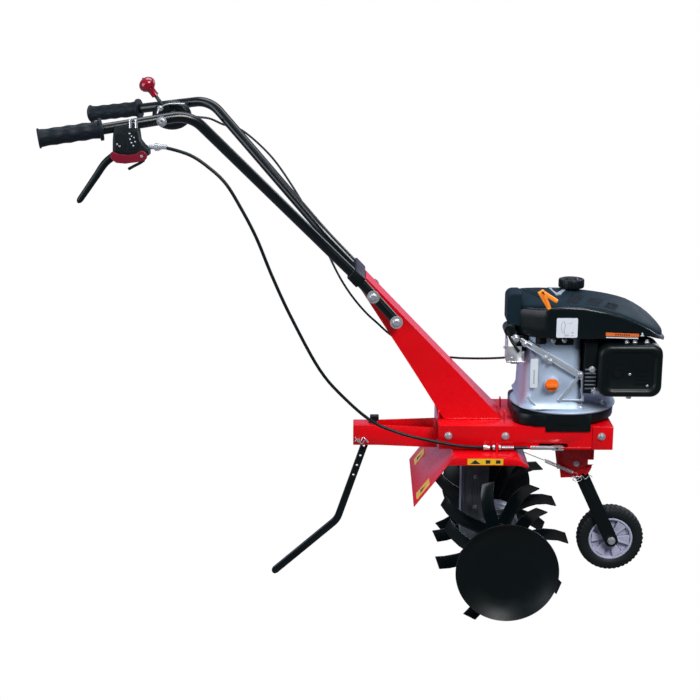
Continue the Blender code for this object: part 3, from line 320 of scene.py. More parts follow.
def smooth_route(points, per_span=6):
    points = [Vector(p) for p in points]
    route = []
    for i in range(len(points) - 1):
        p0, p1 = points[max(i - 1, 0)], points[i]
        p2, p3 = points[i + 1], points[min(i + 2, len(points) - 1)]
        for step in range(per_span):
            t = step / per_span
            route.append(0.5 * (2 * p1 + (p2 - p0) * t + (2 * p0 - 5 * p1 + 4 * p2 - p3) * t * t
                                + (3 * p1 - p0 - 3 * p2 + p3) * t ** 3))
    route.append(points[-1])
    return route


def along_line(table, x):
    """Value on a polyline of (x, value) points."""
    for (x0, v0), (x1, v1) in zip(table, table[1:]):
        if x <= x1:
            return v0 + (v1 - v0) * max(0.0, (x - x0) / (x1 - x0))
    return table[-1][1]


def flip(points):
    return [Vector((p[0], -p[1], p[2])) for p in points]


def box(name):
    """Low and high corner of a CAD node, in this script's sizes."""
    low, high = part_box(name)
    return Vector(low) - SHIFT, Vector(high) - SHIFT


def piece(name, work, look, body="frame", replaced=(), bevel=0.0, sharp=35):
    """Turns a bmesh into a finished piece in the finish look, which rides on a body."""
    bmesh.ops.recalc_face_normals(work, faces=work.faces)
    mesh = bpy.data.meshes.new(name)
    work.to_mesh(mesh)
    work.free()
    mesh.transform(Matrix.Translation(SHIFT))
    mesh.shade_smooth()
    mesh.set_sharp_from_angle(angle=math.radians(sharp))
    obj = bpy.data.objects.new(name, mesh)
    bpy.context.scene.collection.objects.link(obj)
    mesh.materials.append(MATERIALS[look])
    if bevel:
        add_bevel(obj, bevel)
    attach(obj, body)
    if replaced:
        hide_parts(*replaced)


def add_bevel(obj, width, segments=3):
    modifier = obj.modifiers.new("bevel", "BEVEL")
    modifier.width = width
    modifier.segments = segments
    modifier.limit_method = "ANGLE"
    modifier.angle_limit = math.radians(35)
    modifier.harden_normals = True


def dress(name, look, bevel=0.0, sharp=35):
    """A CAD node that stays: welded, softened at its edges and given its finish."""
    obj = NODES[name]
    obj.data.materials.clear()
    obj.data.materials.append(MATERIALS[look])
    obj.data.shade_smooth()
    obj.data.set_sharp_from_angle(angle=math.radians(sharp))
    if bevel:
        weld = obj.modifiers.new("weld", "WELD")
        weld.merge_threshold = 0.00002
        add_bevel(obj, bevel, 2)


def add_hex_bolt(work, at, axis, size, height, washer=0.0):
    """Flanged hex head that stands on a face, with its washer."""
    at, axis = Vector(at), Vector(axis).normalized()
    if washer:
        add_rod(work, at, at + axis * 0.0012, washer, 28)
        at = at + axis * 0.0012
    add_rod(work, at, at + axis * height * 0.25, size * 1.20, 28, size * 1.08)
    add_rod(work, at + axis * height * 0.25, at + axis * height * 0.9, size, 6)
    add_rod(work, at + axis * height * 0.9, at + axis * height, size * 0.86, 24, size * 0.70)


def add_dome_bolt(work, at, axis, size, height, washer):
    """Button head with a hex socket, on a washer."""
    at, axis = Vector(at), Vector(axis).normalized()
    add_rod(work, at, at + axis * 0.0015, washer, 32)
    profile = [(size * 0.45, height * 0.45), (size * 0.45, height), (size * 0.70, height * 0.94),
               (size * 0.92, height * 0.60), (size, 0.0), (size * 0.2, 0.0), (size * 0.2, height * 0.45)]
    add_turned(work, [(r, h + 0.0015) for r, h in profile], at, axis, 32)


# ---- camera and light -----------------------------------------------------------------------
def add_camera():
    data = bpy.data.cameras.new("camera")
    data.lens = CAMERA_LENS
    data.sensor_width = 36.0
    camera = bpy.data.objects.new("camera", data)
    bpy.context.scene.collection.objects.link(camera)
    turn, tilt = math.radians(CAMERA_TURN), math.radians(CAMERA_TILT)
    back = Vector((math.sin(turn) * math.cos(tilt), -math.cos(turn) * math.cos(tilt), math.sin(tilt)))
    camera.location = CAMERA_AT + SHIFT
    camera.rotation_euler = back.to_track_quat("Z", "Y").to_euler()
    bpy.context.scene.camera = camera


def add_light(name, at, target, size, power, colour=(1.0, 1.0, 1.0)):
    data = bpy.data.lights.new(name, "AREA")
    data.shape = "RECTANGLE"
    data.size, data.size_y = size
    data.energy = power
    data.color = colour
    light = bpy.data.objects.new(name, data)
    bpy.context.scene.collection.objects.link(light)
    light.location = at
    light.rotation_euler = (Vector(at) - Vector(target)).to_track_quat("Z", "Y").to_euler()


def add_studio():
    """Soft area lights in a world that is plain white to the camera, and dim, cool bands to all else."""
    bpy.context.scene.view_settings.view_transform = "Standard"
    world = bpy.data.worlds.new("studio")
    bpy.context.scene.world = world
    world.use_nodes = True
    tree = world.node_tree
    tree.nodes.clear()
    out = tree.nodes.new("ShaderNodeOutputWorld")
    mix = tree.nodes.new("ShaderNodeMixShader")
    rays = tree.nodes.new("ShaderNodeLightPath")
    place = tree.nodes.new("ShaderNodeTexCoord")
    split = tree.nodes.new("ShaderNodeSeparateXYZ")
    height = new_node(tree, "ShaderNodeMapRange", {"From Min": -1.0, "From Max": 1.0})
    bands = ramp_node(tree, height.outputs["Result"], (0.42, 0.44, 0.48, 1.0), (0.50, 0.55, 0.63, 1.0),
                      0.0, 1.0)
    for spot, shade in ((0.40, (0.18, 0.195, 0.22, 1.0)), (0.52, (0.055, 0.060, 0.072, 1.0)),
                        (0.66, (0.10, 0.112, 0.135, 1.0))):
        bands.color_ramp.elements.new(spot).color = shade
    depth = new_node(tree, "ShaderNodeMapRange", {"From Min": 0.0, "From Max": 1.0})
    glow = ramp_node(tree, depth.outputs["Result"], (0.0, 0.0, 0.0, 1.0), (0.46, 0.40, 0.74, 1.0),
                     0.15, 0.95)
    both = tree.nodes.new("ShaderNodeVectorMath")
    dim = new_node(tree, "ShaderNodeBackground", {"Strength": 0.60})
    bright = new_node(tree, "ShaderNodeBackground", {"Color": (1.0, 1.0, 1.0, 1.0), "Strength": 1.0})
    link(tree, place.outputs["Generated"], split.inputs["Vector"])
    link(tree, split.outputs["Z"], height.inputs["Value"])
    link(tree, split.outputs["Y"], depth.inputs["Value"])
    link(tree, bands.outputs["Color"], both.inputs[0])
    link(tree, glow.outputs["Color"], both.inputs[1])
    link(tree, both.outputs["Vector"], dim.inputs["Color"])
    link(tree, rays.outputs["Is Camera Ray"], mix.inputs["Fac"])
    link(tree, dim.outputs["Background"], mix.inputs[1])
    link(tree, bright.outputs["Background"], mix.inputs[2])
    link(tree, mix.outputs["Shader"], out.inputs["Surface"])
    add_light("key", (1.5, -2.4, 3.1), (0.1, 0.0, 0.5), (1.6, 1.2), 150)
    add_light("fill", (-2.6, -1.6, 1.3), (0.0, 0.0, 0.6), (2.0, 2.0), 60, (0.84, 0.90, 1.0))
    add_light("top", (0.1, 0.5, 3.3), (0.1, 0.0, 0.4), (2.6, 1.4), 62, (0.90, 0.95, 1.0))
    add_light("rim", (2.2, 2.4, 1.8), (0.2, 0.0, 0.6), (1.2, 1.8), 30, (0.90, 0.94, 1.0))


# ---- handlebars and controls ----------------------------------------------------------------
def handlebar_path():
    end = GRIP_END + (GRIP_START - GRIP_END).normalized() * 0.004
    return fillet_path([end, *TUBE_CORNERS], TUBE_RADII)


def handlebars():
    path = handlebar_path()
    for side, route in (("right", path), ("left", flip(path))):
        work = bmesh.new()
        add_sweep(work, route, TUBE_R, 28)
        piece("handlebar_tube_" + side, work, "black_paint", replaced=["handlebar_" + side], bevel=0.0012)
    dress("handle_cross_brace", "black_paint", 0.001)
    dress("handle_collar", "satin_black", 0.0015)


def grips():
    """Moulded grips with shallow wavy ribs and a flange at each end."""
    length = (GRIP_START - GRIP_END).length
    steps, rows = 60, 72
    inner_end = ((0.0004, 0.0008), (0.0150, 0.0008), (0.0185, 0.0011), (0.0203, 0.0028), (0.0198, 0.0048),
                 (0.0180, 0.0058))
    outer_end = ((0.0180, -0.0078), (0.0222, -0.0066), (0.0226, -0.0035), (0.0222, -0.0006), (0.0190, 0.0),
                 (0.0118, 0.0))
    rings = [[spot] * steps for spot in inner_end]
    for i in range(rows):
        t = i / (rows - 1)
        z = 0.0075 + (length - 0.0165) * i / (rows - 1)
        swell = 0.0170 + 0.0006 * math.cos(math.tau * t * 4)
        ring = []
        for k in range(steps):
            lane = math.sin(math.tau * k / steps * 6 + 1.2 * math.sin(math.tau * t * 3))
            ring.append((swell - 0.0007 * max(0.0, lane) ** 4, z))
        rings.append(ring)
    rings += [[(r, length + z)] * steps for r, z in outer_end]
    for side, end, start in (("right", GRIP_END, GRIP_START), ("left", *flip([GRIP_END, GRIP_START]))):
        matrix = Matrix.Translation(end) @ towards(start - end)
        work = bmesh.new()
        placed = [[matrix @ Vector((*polar(r, math.tau * k / steps), z)) for k, (r, z) in enumerate(ring)]
                  for ring in rings]
        add_loft(work, placed)
        piece("grip_rubber_" + side, work, "rubber", replaced=["grip_" + side], sharp=60)


def handle_fasteners():
    clamp_y, brace_y = 0.0645, 0.2200
    work = bmesh.new()
    for x, z in HANDLE_BOLTS:
        for side in (-1, 1):
            add_dome_bolt(work, (x, side * clamp_y, z), (0, side, 0), 0.0082, 0.0055, 0.0140)
    brace_low, brace_high = box("handle_cross_brace")
    brace = (brace_low + brace_high) / 2
    for side in (-1, 1):
        add_dome_bolt(work, (brace.x, side * brace_y, brace.z), (0, side, 0), 0.0070, 0.0045, 0.0100)
    piece("handle_fasteners", work, "zinc", sharp=30)
    for name in ("handle_bolt_upper", "handle_bolt_lower"):
        dress(name, "zinc")


def throttle_control():
    dress("throttle_quadrant", "satin_black", 0.002)
    dress("throttle_lever", "satin_black", 0.0006)
    near = box("throttle_quadrant")[0].y
    face = near - 0.0105
    screw = (-0.4470, 1.0745)
    work = bmesh.new()
    strap = smooth_route([(-0.4530, face + 0.001, 1.0637), (-0.4461, face, 1.0764), (-0.4266, face, 1.0835),
                          (-0.3950, face + 0.002, 1.0835)])
    add_sweep(work, strap, 0.0017, 10, flat=1.2)
    add_dome_bolt(work, (screw[0], face + 0.001, screw[1]), (0, -1, 0), 0.0042, 0.0030, 0.0062)
    add_pin(work, screw, near + 0.001, face, 0.0022, 16)
    piece("throttle_strap", work, "zinc")
    throttle_ball()


def throttle_ball():
    """Oval ball with a neck that points along its lever."""
    low, high = box("throttle_knob")
    lever_low, lever_high = box("throttle_lever")
    ball = Vector((low.x + 0.018, (low.y + high.y) / 2, high.z - 0.018))
    axis = (ball - Vector((lever_high.x - 0.010, ball.y, lever_low.z + 0.010))).normalized()
    across, along = 0.0180, 0.0150
    angles = [math.radians(a) for a in range(80, -61, -10)]
    profile = [(0.0001, 0.0172), *((across * math.cos(a), along * math.sin(a)) for a in angles),
               (0.0078, -0.0170), (0.0078, -0.0290), (0.0050, -0.0300), (0.0001, -0.0300)]
    work = bmesh.new()
    add_turned(work, profile, ball, axis, 56)
    piece("throttle_ball", work, "knob_red", "throttle", replaced=["throttle_knob"], sharp=50)


def clutch_control():
    dress("clutch_housing", "black_plastic", 0.0012)
    low = box("clutch_housing")[0]
    near = low.y
    work = bmesh.new()
    for x0, x1, z0, z1, radius, stand in ((0.030, 0.052, 0.016, 0.050, 0.003, 0.0012),
                                          (0.006, 0.026, 0.012, 0.046, 0.004, 0.0008)):
        pad = rounded_rect(low.x + x0, low.x + x1, low.z + z0, low.z + z1, radius)
        add_prism(work, pad, near - stand, near + 0.001)
    piece("clutch_housing_pads", work, "black_plastic", bevel=0.0006)
    work = bmesh.new()
    for x in (-0.4749, -0.4631):
        add_rod(work, (x, near + 0.0010, 1.0545), (x, near + 0.0010, 1.0715), 0.0027, 20)
    for x, z in ((0.010, 0.026), (0.015, 0.022)):
        add_pin(work, (low.x + x, low.z + z), near - 0.0030, near - 0.0005, 0.0020, 20)
    add_pin(work, CATCH_PIVOT, near - 0.0092, near - 0.0010, 0.0030)
    piece("clutch_housing_screws", work, "zinc", bevel=0.0004)
    work = bmesh.new()
    for x, z, size in ((0.034, 0.046, 0.003), (0.038, 0.041, 0.002), (0.035, 0.035, 0.0025),
                       (0.043, 0.038, 0.002), (0.037, 0.028, 0.003), (0.045, 0.030, 0.002),
                       (0.041, 0.022, 0.0025)):
        add_box(work, (low.x + x, near - 0.00145, low.z + z),
                (low.x + x + size, near - 0.00115, low.z + z + 0.0022))
    piece("clutch_housing_marks", work, "label_white")
    clutch_lever()
    safety_catch()
    start = Vector(CLUTCH_CABLE[0])
    along = (Vector(CLUTCH_CABLE[1]) - start).normalized()
    work = bmesh.new()
    for near_end, far_end, radius, sides in ((-0.003, 0.010, 0.0046, 24), (0.010, 0.017, 0.0078, 24),
                                             (0.017, 0.021, 0.0068, 6), (0.021, 0.034, 0.0048, 20)):
        add_rod(work, start + along * near_end, start + along * far_end, radius, sides)
    piece("clutch_adjuster", work, "zinc", bevel=0.0004)


def clutch_lever():
    """Forged lever: thick at the housing, slim towards its rounded tip."""
    path = smooth_route([(x, LEVER_Y, z) for x, z in LEVER_BENDS], 8)
    radii = [0.0086 - 0.0024 * (i / (len(path) - 1)) for i in range(len(path))]
    for i, share in enumerate((0.25, 0.70, 0.90)):
        radii[-1 - i] = radii[-4] * share
    work = bmesh.new()
    add_sweep(work, path, radii, 20, flat=0.72)
    piece("clutch_lever_blade", work, "satin_black", "clutch_grip_lever", ["clutch_lever"],
          sharp=60)


def safety_catch():
    low, high = box("safety_catch")
    near, far = low.y - 0.0005, high.y
    top = moved(((0.001, -0.004), (0.006, -0.001), (0.016, -0.006), (0.034, -0.008), (0.052, -0.006),
                 (0.060, 0.0)), low.x, high.z)
    nose = arc(CATCH_PIVOT, 0.0102, 70, -70, 9)
    base = moved(((0.050, 0.002), (0.030, -0.0005), (0.012, 0.001), (0.002, 0.009)), low.x, low.z)
    tail = ((-0.449, 0.992), (-0.458, 0.986), (-0.470, 0.980), (-0.481, 0.974))
    work = bmesh.new()
    add_prism(work, top + nose + base, near, far)
    piece("safety_catch_body", work, "crimson_plastic", "catch", replaced=["safety_catch"], bevel=0.0016)
    work = bmesh.new()
    add_sweep(work, smooth_route([(x, far - 0.003, z) for x, z in tail]), 0.0030, 14, flat=0.9)
    piece("safety_catch_tail", work, "satin_black", "catch")


def cables():
    for name, node, route, radius in (("clutch_cable_sheath", "clutch_cable", CLUTCH_CABLE, 0.0035),
                                      ("throttle_cable_sheath", "throttle_cable", THROTTLE_CABLE, 0.0025)):
        path = smooth_route(route)
        curve = bpy.data.curves.new(name, "CURVE")
        curve.dimensions = "3D"
        curve.bevel_depth = radius
        curve.bevel_resolution = 4
        curve.use_fill_caps = True
        spline = curve.splines.new("POLY")
        spline.points.add(len(path) - 1)
        for spot, point in zip(spline.points, path):
            spot.co = (*(point + SHIFT), 1.0)
        curve.materials.append(MATERIALS["black_plastic"])
        obj = bpy.data.objects.new(name, curve)
        bpy.context.scene.collection.objects.link(obj)
        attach(obj, "frame")
        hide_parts(node)


# ---- frame ----------------------------------------------------------------------------------
def red_frame():
    for name in ("body_shell", "front_end_plate", "wheel_bracket"):
        dress(name, "red_paint", 0.0009, 30)
    dress("rear_bracket", "red_paint", 0.0014, 30)
    dress("tine_guard", "red_paint", 0.0007, 30)
    low, high = box("body_shell")
    plate = box("front_end_plate")[0]
    work = bmesh.new()
    for side in (-1, 1):
        for x, y in ((low.x + 0.0205, low.y), (low.x + 0.1455, low.y), (low.x + 0.3555, plate.y)):
            add_hex_bolt(work, (x, side * abs(y), high.z - 0.022), (0, side, 0), 0.0056, 0.0052, 0.0085)
    piece("body_bolts", work, "zinc")
    mast_channel()
    mast_foot_details(high.z)
    work = bmesh.new()
    x0, x1, z0, z1 = low.x + 0.006, plate.x - 0.002, low.z + 0.0006, low.z + 0.0060
    add_prism(work, [(x0, z0), (x1, z0), (x1, z1), (x0, z1)], low.y - 0.0022, low.y)
    piece("body_lower_lip", work, "red_paint", bevel=0.0009)
    # A thin near-black sheet across the body's slot: painted shade in the slot, not a part of the machine.
    work = bmesh.new()
    add_box(work, (0.356, -0.1020, 0.3412), (0.440, -0.0300, 0.3424))
    piece("body_slot_shade_sheet", work, "painted_shade_black")


def mast_foot_details(deck):
    """An uneven weld bead along each side of the mast's foot, and two folded tabs at each of its ends."""
    start, stop, steps = 0.170, 0.290, 60
    work = bmesh.new()
    for side in (-1, 1):
        bead = []
        for i in range(steps + 1):
            wobble = 0.0006 * math.sin(i * 1.9) + 0.0004 * math.sin(i * 0.7)
            x = start + (stop - start) * i / steps
            bead.append((x, side * (MAST_FOOT + 0.0012), deck + 0.0012 + wobble * 0.5))
        add_sweep(work, bead, [0.0026 + 0.0005 * math.sin(i * 2.1) for i in range(steps + 1)], 10)
    tab = rounded_rect(-0.0085, 0.0085, deck + 0.0005, deck + 0.021, 0.004)
    for x0, x1 in ((0.1530, 0.1560), (0.2985, 0.3015)):
        for side in (-1, 1):
            y = side * (MAST_FOOT - 0.004)
            add_loft(work, [[Vector((x, y + a, z)) for a, z in tab] for x in (x0, x1)])
    piece("mast_welds_and_tabs", work, "red_paint", bevel=0.0004, sharp=50)


def mast_channel():
    """Folded channel, open to the rear, whose sides spread towards the foot."""
    sheet, web = 0.0025, 0.0036
    half_at = ((0.3945, MAST_FOOT), (0.5000, 0.0405), (0.7115, 0.0405))
    front_at = ((0.3945, 0.2950), (0.7115, -0.0080))
    rear_at = ((0.3945, 0.1660), (0.6880, -0.0210), (0.7115, -0.0080))
    rings = []
    for z in (0.3945, 0.4300, 0.4650, 0.5000, 0.5600, 0.6200, 0.6880, 0.7000, 0.7105):
        half, front, rear = (along_line(table, z) for table in (half_at, front_at, rear_at))
        inside = max(front - web, rear + 0.0002)
        corners = ((rear, -half), (front, -half), (front, half), (rear, half), (rear, half - sheet),
                   (inside, half - sheet), (inside, sheet - half), (rear, sheet - half))
        rings.append([Vector((x, y, z)) for x, y in corners])
    work = bmesh.new()
    add_loft(work, rings)
    piece("mast_channel", work, "red_paint", replaced=["mast"], bevel=0.0007, sharp=30)


def guard_labels():
    """A label on the guard's near side and two on its sloping flap, with plain marks."""
    low, high = box("tine_guard")
    near = low.y - 0.00035
    z0, z1 = high.z - 0.0165, high.z - 0.0025
    flap_low, flap_high = Vector((0.098, 0, 0.226)), Vector((0.184, 0, 0.3385))
    slope = (flap_high - flap_low).normalized()
    outward = Vector((-slope.z, 0, slope.x))
    spot = flap_low.lerp(flap_high, 0.25)
    skin = 0.00125

    def add_flap_patch(work, outline, y, lifts):
        add_loft(work, [[spot + outward * lift + Vector((0, y + a, 0)) + slope * b for a, b in outline]
                        for lift in lifts])

    work = bmesh.new()
    add_prism(work, rounded_rect(0.2125, 0.2900, z0, z1, 0.0015), near, near + 0.0003)
    for half_y, half_s, y in ((0.020, 0.023, -0.1235), (0.022, 0.018, 0.0945)):
        add_flap_patch(work, rounded_rect(-half_y, half_y, -half_s, half_s, 0.002), y, (skin, skin + 0.0003))
    piece("guard_labels", work, "label_yellow", sharp=30)
    work = bmesh.new()
    peak = [(0.218, z0 + 0.002), (0.241, z0 + 0.002), ((0.218 + 0.241) / 2, z1 - 0.003)]
    blocks = [rounded_rect(x, x + 0.010, z0 + 0.003, z1 - 0.003, 0.001) for x in (0.252, 0.274)]
    for mark in (peak, *blocks):
        add_prism(work, mark, near - 0.0002, near)
    for y in (-0.1235, 0.0945):
        add_flap_patch(work, ((-0.009, -0.008), (0.009, -0.008), (0.0, 0.010)), y,
                       (skin + 0.0003, skin + 0.0005))
    piece("guard_label_marks", work, "label_ink", sharp=30)


def stake_and_clip():
    dress("drag_stake", "black_paint", 0.0010, 30)
    low = box("rear_bracket")[0]
    near = -0.0226
    pin = (low.x + 0.012, low.z + 0.012)
    work = bmesh.new()
    for lead in (0.0, 0.008):
        loop = []
        for i in range(33):
            t = i / 32
            z = low.z + 0.009 + lead * 0.5 + 0.0055 * math.sin(t * math.tau * 1.5 + lead * 200)
            loop.append((low.x + 0.004 + 0.030 * t, near - 0.0022 - 0.001 * math.sin(t * 9), z))
        add_sweep(work, loop, 0.0011, 8)
    add_pin(work, pin, near - 0.004, near + 0.002, 0.0042, 20)
    add_pin(work, pin, -near - 0.002, -near + 0.006, 0.0042, 20)
    piece("stake_clip", work, "zinc")
    top = box("drag_stake")[1].z
    work = bmesh.new()
    add_box(work, (0.0020, -0.0085, top - 0.012), (0.0220, 0.0085, top - 0.0005))
    piece("stake_cap", work, "satin_black", "stake", bevel=0.0020)


# ---- wheel ----------------------------------------------------------------------------------
def transport_wheel():
    dress("wheel_arm", "satin_black", 0.0008, 30)
    pivot_face, axle_face = 0.0318, 0.0278
    work = bmesh.new()
    for side in (-1, 1):
        at = WHEEL_PIVOT + Vector((0, side * pivot_face, 0))
        add_hex_bolt(work, at, (0, side, 0), 0.0052, 0.0056, 0.0070)
    piece("wheel_pivot_nuts", work, "zinc", replaced=["wheel_pivot_bolt"])
    work = bmesh.new()
    for side in (-1, 1):
        add_hex_bolt(work, WHEEL_AXLE + Vector((0, side * axle_face, 0)), (0, side, 0), 0.0078, 0.0058)
    add_pin(work, WHEEL_AXLE.xz, -0.028, 0.028, 0.0040)
    piece("wheel_axle_nuts", work, "zinc", "wheel_fork", replaced=["wheel_axle_bolt"])
    tyre()
    rim()
    spring_and_clip()


def tyre():
    """Tyre with two staggered rows of small shoulder lugs and a ridge round its middle."""
    low, high = box("wheel_tyre")
    outer, half, steps, lugs = (high.x - low.x) / 2, high.y, 264, 44
    flank = [(0.0500, -0.0140), (0.0515, -0.0160), (0.0560, -0.0183), (0.0600, -0.0190), (0.0640, -0.0190),
             (0.0668, -0.0187), (0.0690, -0.0182), (0.0715, -0.0165), (0.0735, -0.0140), (0.0745, -0.0100),
             (0.0748, -0.0055)]
    section = [*flank, (0.0749, 0.0), *((r, -y) for r, y in reversed(flank)), (0.0508, 0.0080),
               (0.0508, -0.0080)]
    tread = 0.0668

    def lug(angle, radius, height):
        if radius < tread:
            return radius
        shift = 0.5 if height > 0 else 0.0
        phase = (angle / math.tau * lugs + shift + 4.0 * abs(height) / half * 0.15) % 1.0
        rise = 0.0016 if phase < 0.58 else 0.0
        if abs(height) < 0.0020:
            rise = 0.0010
        return min(radius + rise - 0.0002, outer)

    work = bmesh.new()
    add_turned(work, section, WHEEL_AXLE, (0, 1, 0), steps, lug)
    piece("tyre", work, "tyre_rubber", "wheel", ["wheel_tyre"], sharp=28)


def rim():
    """Moulded rim: a lipped ring and a hub joined by six webs over a sunk, faceted disc."""
    work = bmesh.new()
    ring = [(0.0455, -0.0150), (0.0480, -0.0158), (0.0504, -0.0150), (0.0500, -0.0120), (0.0500, 0.0120),
            (0.0504, 0.0150), (0.0480, 0.0158), (0.0455, 0.0150), (0.0440, 0.0080), (0.0440, -0.0080)]
    hub = [(0.0048, -0.0195), (0.0110, -0.0195), (0.0135, -0.0180), (0.0145, -0.0100), (0.0145, 0.0100),
           (0.0135, 0.0180), (0.0110, 0.0195), (0.0048, 0.0195)]
    add_turned(work, ring, WHEEL_AXLE, (0, 1, 0), 96)
    add_turned(work, hub, WHEEL_AXLE, (0, 1, 0), 48)
    spokes, inner, outer, drop = 6, 0.0135, 0.0448, 0.004
    for i in range(spokes):
        turn = Matrix.Translation(WHEEL_AXLE) @ Matrix.Rotation(math.tau * (i + 0.3) / spokes, 4, "Y")
        add_box(work, (0.0125, -0.0140, -0.0022), (0.0450, 0.0140, 0.0022), turn)
        for side in (-1, 1):
            for j, depth in ((0, 0.0035), (1, 0.0105)):
                a0 = math.tau * (j * 0.5) / spokes + 0.03
                a1 = math.tau * (j * 0.5 + 0.5) / spokes
                spots = [polar(r, -a) for r, a in ((inner, a0), (outer, a0), (outer, a1), (inner, a1))]
                depths = (depth, depth + drop, depth + drop, depth)
                add_loft(work, [[turn @ Vector((x, 0.0005 * side, z)) for x, z in spots],
                                [turn @ Vector((x, side * d, z)) for (x, z), d in zip(spots, depths)]])
    piece("rim", work, "grey_plastic", "wheel", replaced=["wheel_rim"], bevel=0.0006, sharp=30)


def spring_and_clip():
    spring_y, clip_y = -0.038, -0.0360
    start, stop = Vector((0.3972, spring_y, 0.2914)), Vector((0.4590, spring_y, 0.2645))
    along = (stop - start).normalized()
    side = Vector((0, 1, 0))
    up = along.cross(side)
    turns, per_turn, coil = 24, 12, 0.0036
    wire = [Vector((0.3489, spring_y, 0.3114)), start - along * 0.004]
    for i in range(turns * per_turn + 1):
        a = math.tau * i / per_turn
        middle = start.lerp(stop, i / (turns * per_turn))
        wire.append(middle + (side * math.sin(a) + up * math.cos(a)) * coil)
    hook = ((0.003, 0.0), (0.010, 0.002), (0.014, -0.002), (0.011, -0.005))
    wire += [stop + along * a + up * b for a, b in hook]
    work = bmesh.new()
    add_sweep(work, wire, 0.0009, 8)
    piece("fork_spring", work, "zinc", replaced=["wheel_spring"], sharp=60)
    work = bmesh.new()
    clip = []
    for i in range(49):
        t = i / 48
        clip.append((0.4563 + 0.0477 * t, clip_y,
                     0.2500 + 0.0040 * math.sin(t * math.tau * 2.5) + 0.0025 * t))
    loop = [(0.4710 + 0.010 * math.cos(a * 0.35), clip_y,
             0.2475 + 0.0055 * math.sin(a * 0.35)) for a in range(19)]
    for path in (clip, loop):
        add_sweep(work, path, 0.0010, 8)
    piece("latch_clip", work, "zinc", sharp=60)


# ---- tines and gearcase ---------------------------------------------------------------------
def tines():
    words = (("right", -1), ("left", 1))
    for word, side in words:
        for ring in ("inner", "outer"):
            dress(f"tine_set_{ring}_{word}", "black_paint", 0.0008, 30)
    dress("tine_shaft", "steel", 0.0005)
    dress("worm_wheel", "steel")
    disc_y, plates, half_plate, bolt_circle = 0.2515, (0.060, 0.130, 0.205), 0.0030, 0.023
    dish = [(0.0108, 0.0), (0.066, 0.0), (0.072, 0.0012), (0.088, 0.0082), (0.100, 0.0152), (0.1085, 0.0222),
            (0.1099, 0.0238), (0.1095, 0.0260), (0.0980, 0.0178), (0.087, 0.0107), (0.0715, 0.0037),
            (0.0655, 0.0025), (0.0001, 0.0025), (0.0001, 0.0017), (0.0108, 0.0017)]
    for word, side in words:
        work = bmesh.new()
        add_turned(work, dish, TINE_AXLE + Vector((0, side * disc_y, 0)), (0, side, 0), 128)
        piece("guard_disc_dish_" + word, work, "satin_black", "tine_rotor",
              ["guard_disc_" + word],
              sharp=50)
    work = bmesh.new()
    for side in (-1, 1):
        for y in (0.045, 0.095, 0.155, 0.232):
            for up in (1, -1):
                at = TINE_AXLE + Vector((0.0, side * y, up * 0.0150))
                add_hex_bolt(work, at, (0, 0, up), 0.0055, 0.0050)
        for y in plates:
            add_pin(work, TINE_AXLE.xz, side * (y - half_plate), side * (y + half_plate), 0.0300, 8)
    piece("tine_hub_plates", work, "black_paint", "tine_rotor", bevel=0.0006, sharp=30)
    work = bmesh.new()
    for side in (-1, 1):
        for y in plates:
            for i in range(4):
                x, z = polar(bolt_circle, math.tau * (i + 0.5) / 4 + (1.13 if y < 0.1 else 0.38))
                at = TINE_AXLE + Vector((x, side * (y + half_plate), z))
                add_hex_bolt(work, at, (0, side, 0), 0.0050, 0.0045)
    piece("tine_bolts", work, "steel", "tine_rotor")


def gearcase():
    for word in ("right", "left"):
        dress("gearcase_" + word, "gear_aluminium", 0.0015, 30)
        dress("shaft_bearing_" + word, "steel", 0.0003)
    for name in ("worm_shaft", "input_pulley", "engine_pulley", "crankshaft", "idler_pulley"):
        dress(name, "steel", 0.0004, 30)
    dress("drive_belt", "tyre_rubber", 0.0006)
    dress("idler_arm", "zinc", 0.0004, 30)
    low, high = box("gearcase_right")
    half = 0.0300
    work = bmesh.new()
    for side in (-1, 1):
        face = side * half
        for x in (0.006, 0.022, 0.040, 0.056):
            rib = rounded_rect(low.x + x - 0.0022, low.x + x + 0.0022, 0.1622, high.z - 0.004, 0.002, 4)
            add_prism(work, rib, *sorted((face, face + side * 0.0028)))
        for radius, tall in ((0.0260, 0.0040), (0.0360, 0.0040), (0.0470, 0.0022)):
            wide = radius + 0.0030
            ring = [(radius, -0.0005), (wide, -0.0005), (wide, tall), (radius, tall)]
            add_turned(work, ring, TINE_AXLE + Vector((0, face, 0)), (0, side, 0), 72)
        for i in range(10):
            turn = Matrix.Translation(TINE_AXLE + Vector((0, face, 0))) @ Matrix.Rotation(math.tau * i / 10,
                    4, "Y")
            y0, y1 = sorted((0.0, side * 0.0030))
            add_box(work, (0.0280, y0, -0.0012), (0.0475, y1, 0.0012), turn)
    piece("gearcase_ribs", work, "gear_aluminium", bevel=0.0008, sharp=30)
    work = bmesh.new()
    for side in (-1, 1):
        for x, z in ((0.031, 0.2502), (0.031, 0.1772), (0.010, 0.1072)):
            add_hex_bolt(work, (low.x + x, side * half, z), (0, side, 0), 0.0046, 0.0026)
    piece("gearcase_bolts", work, "zinc")


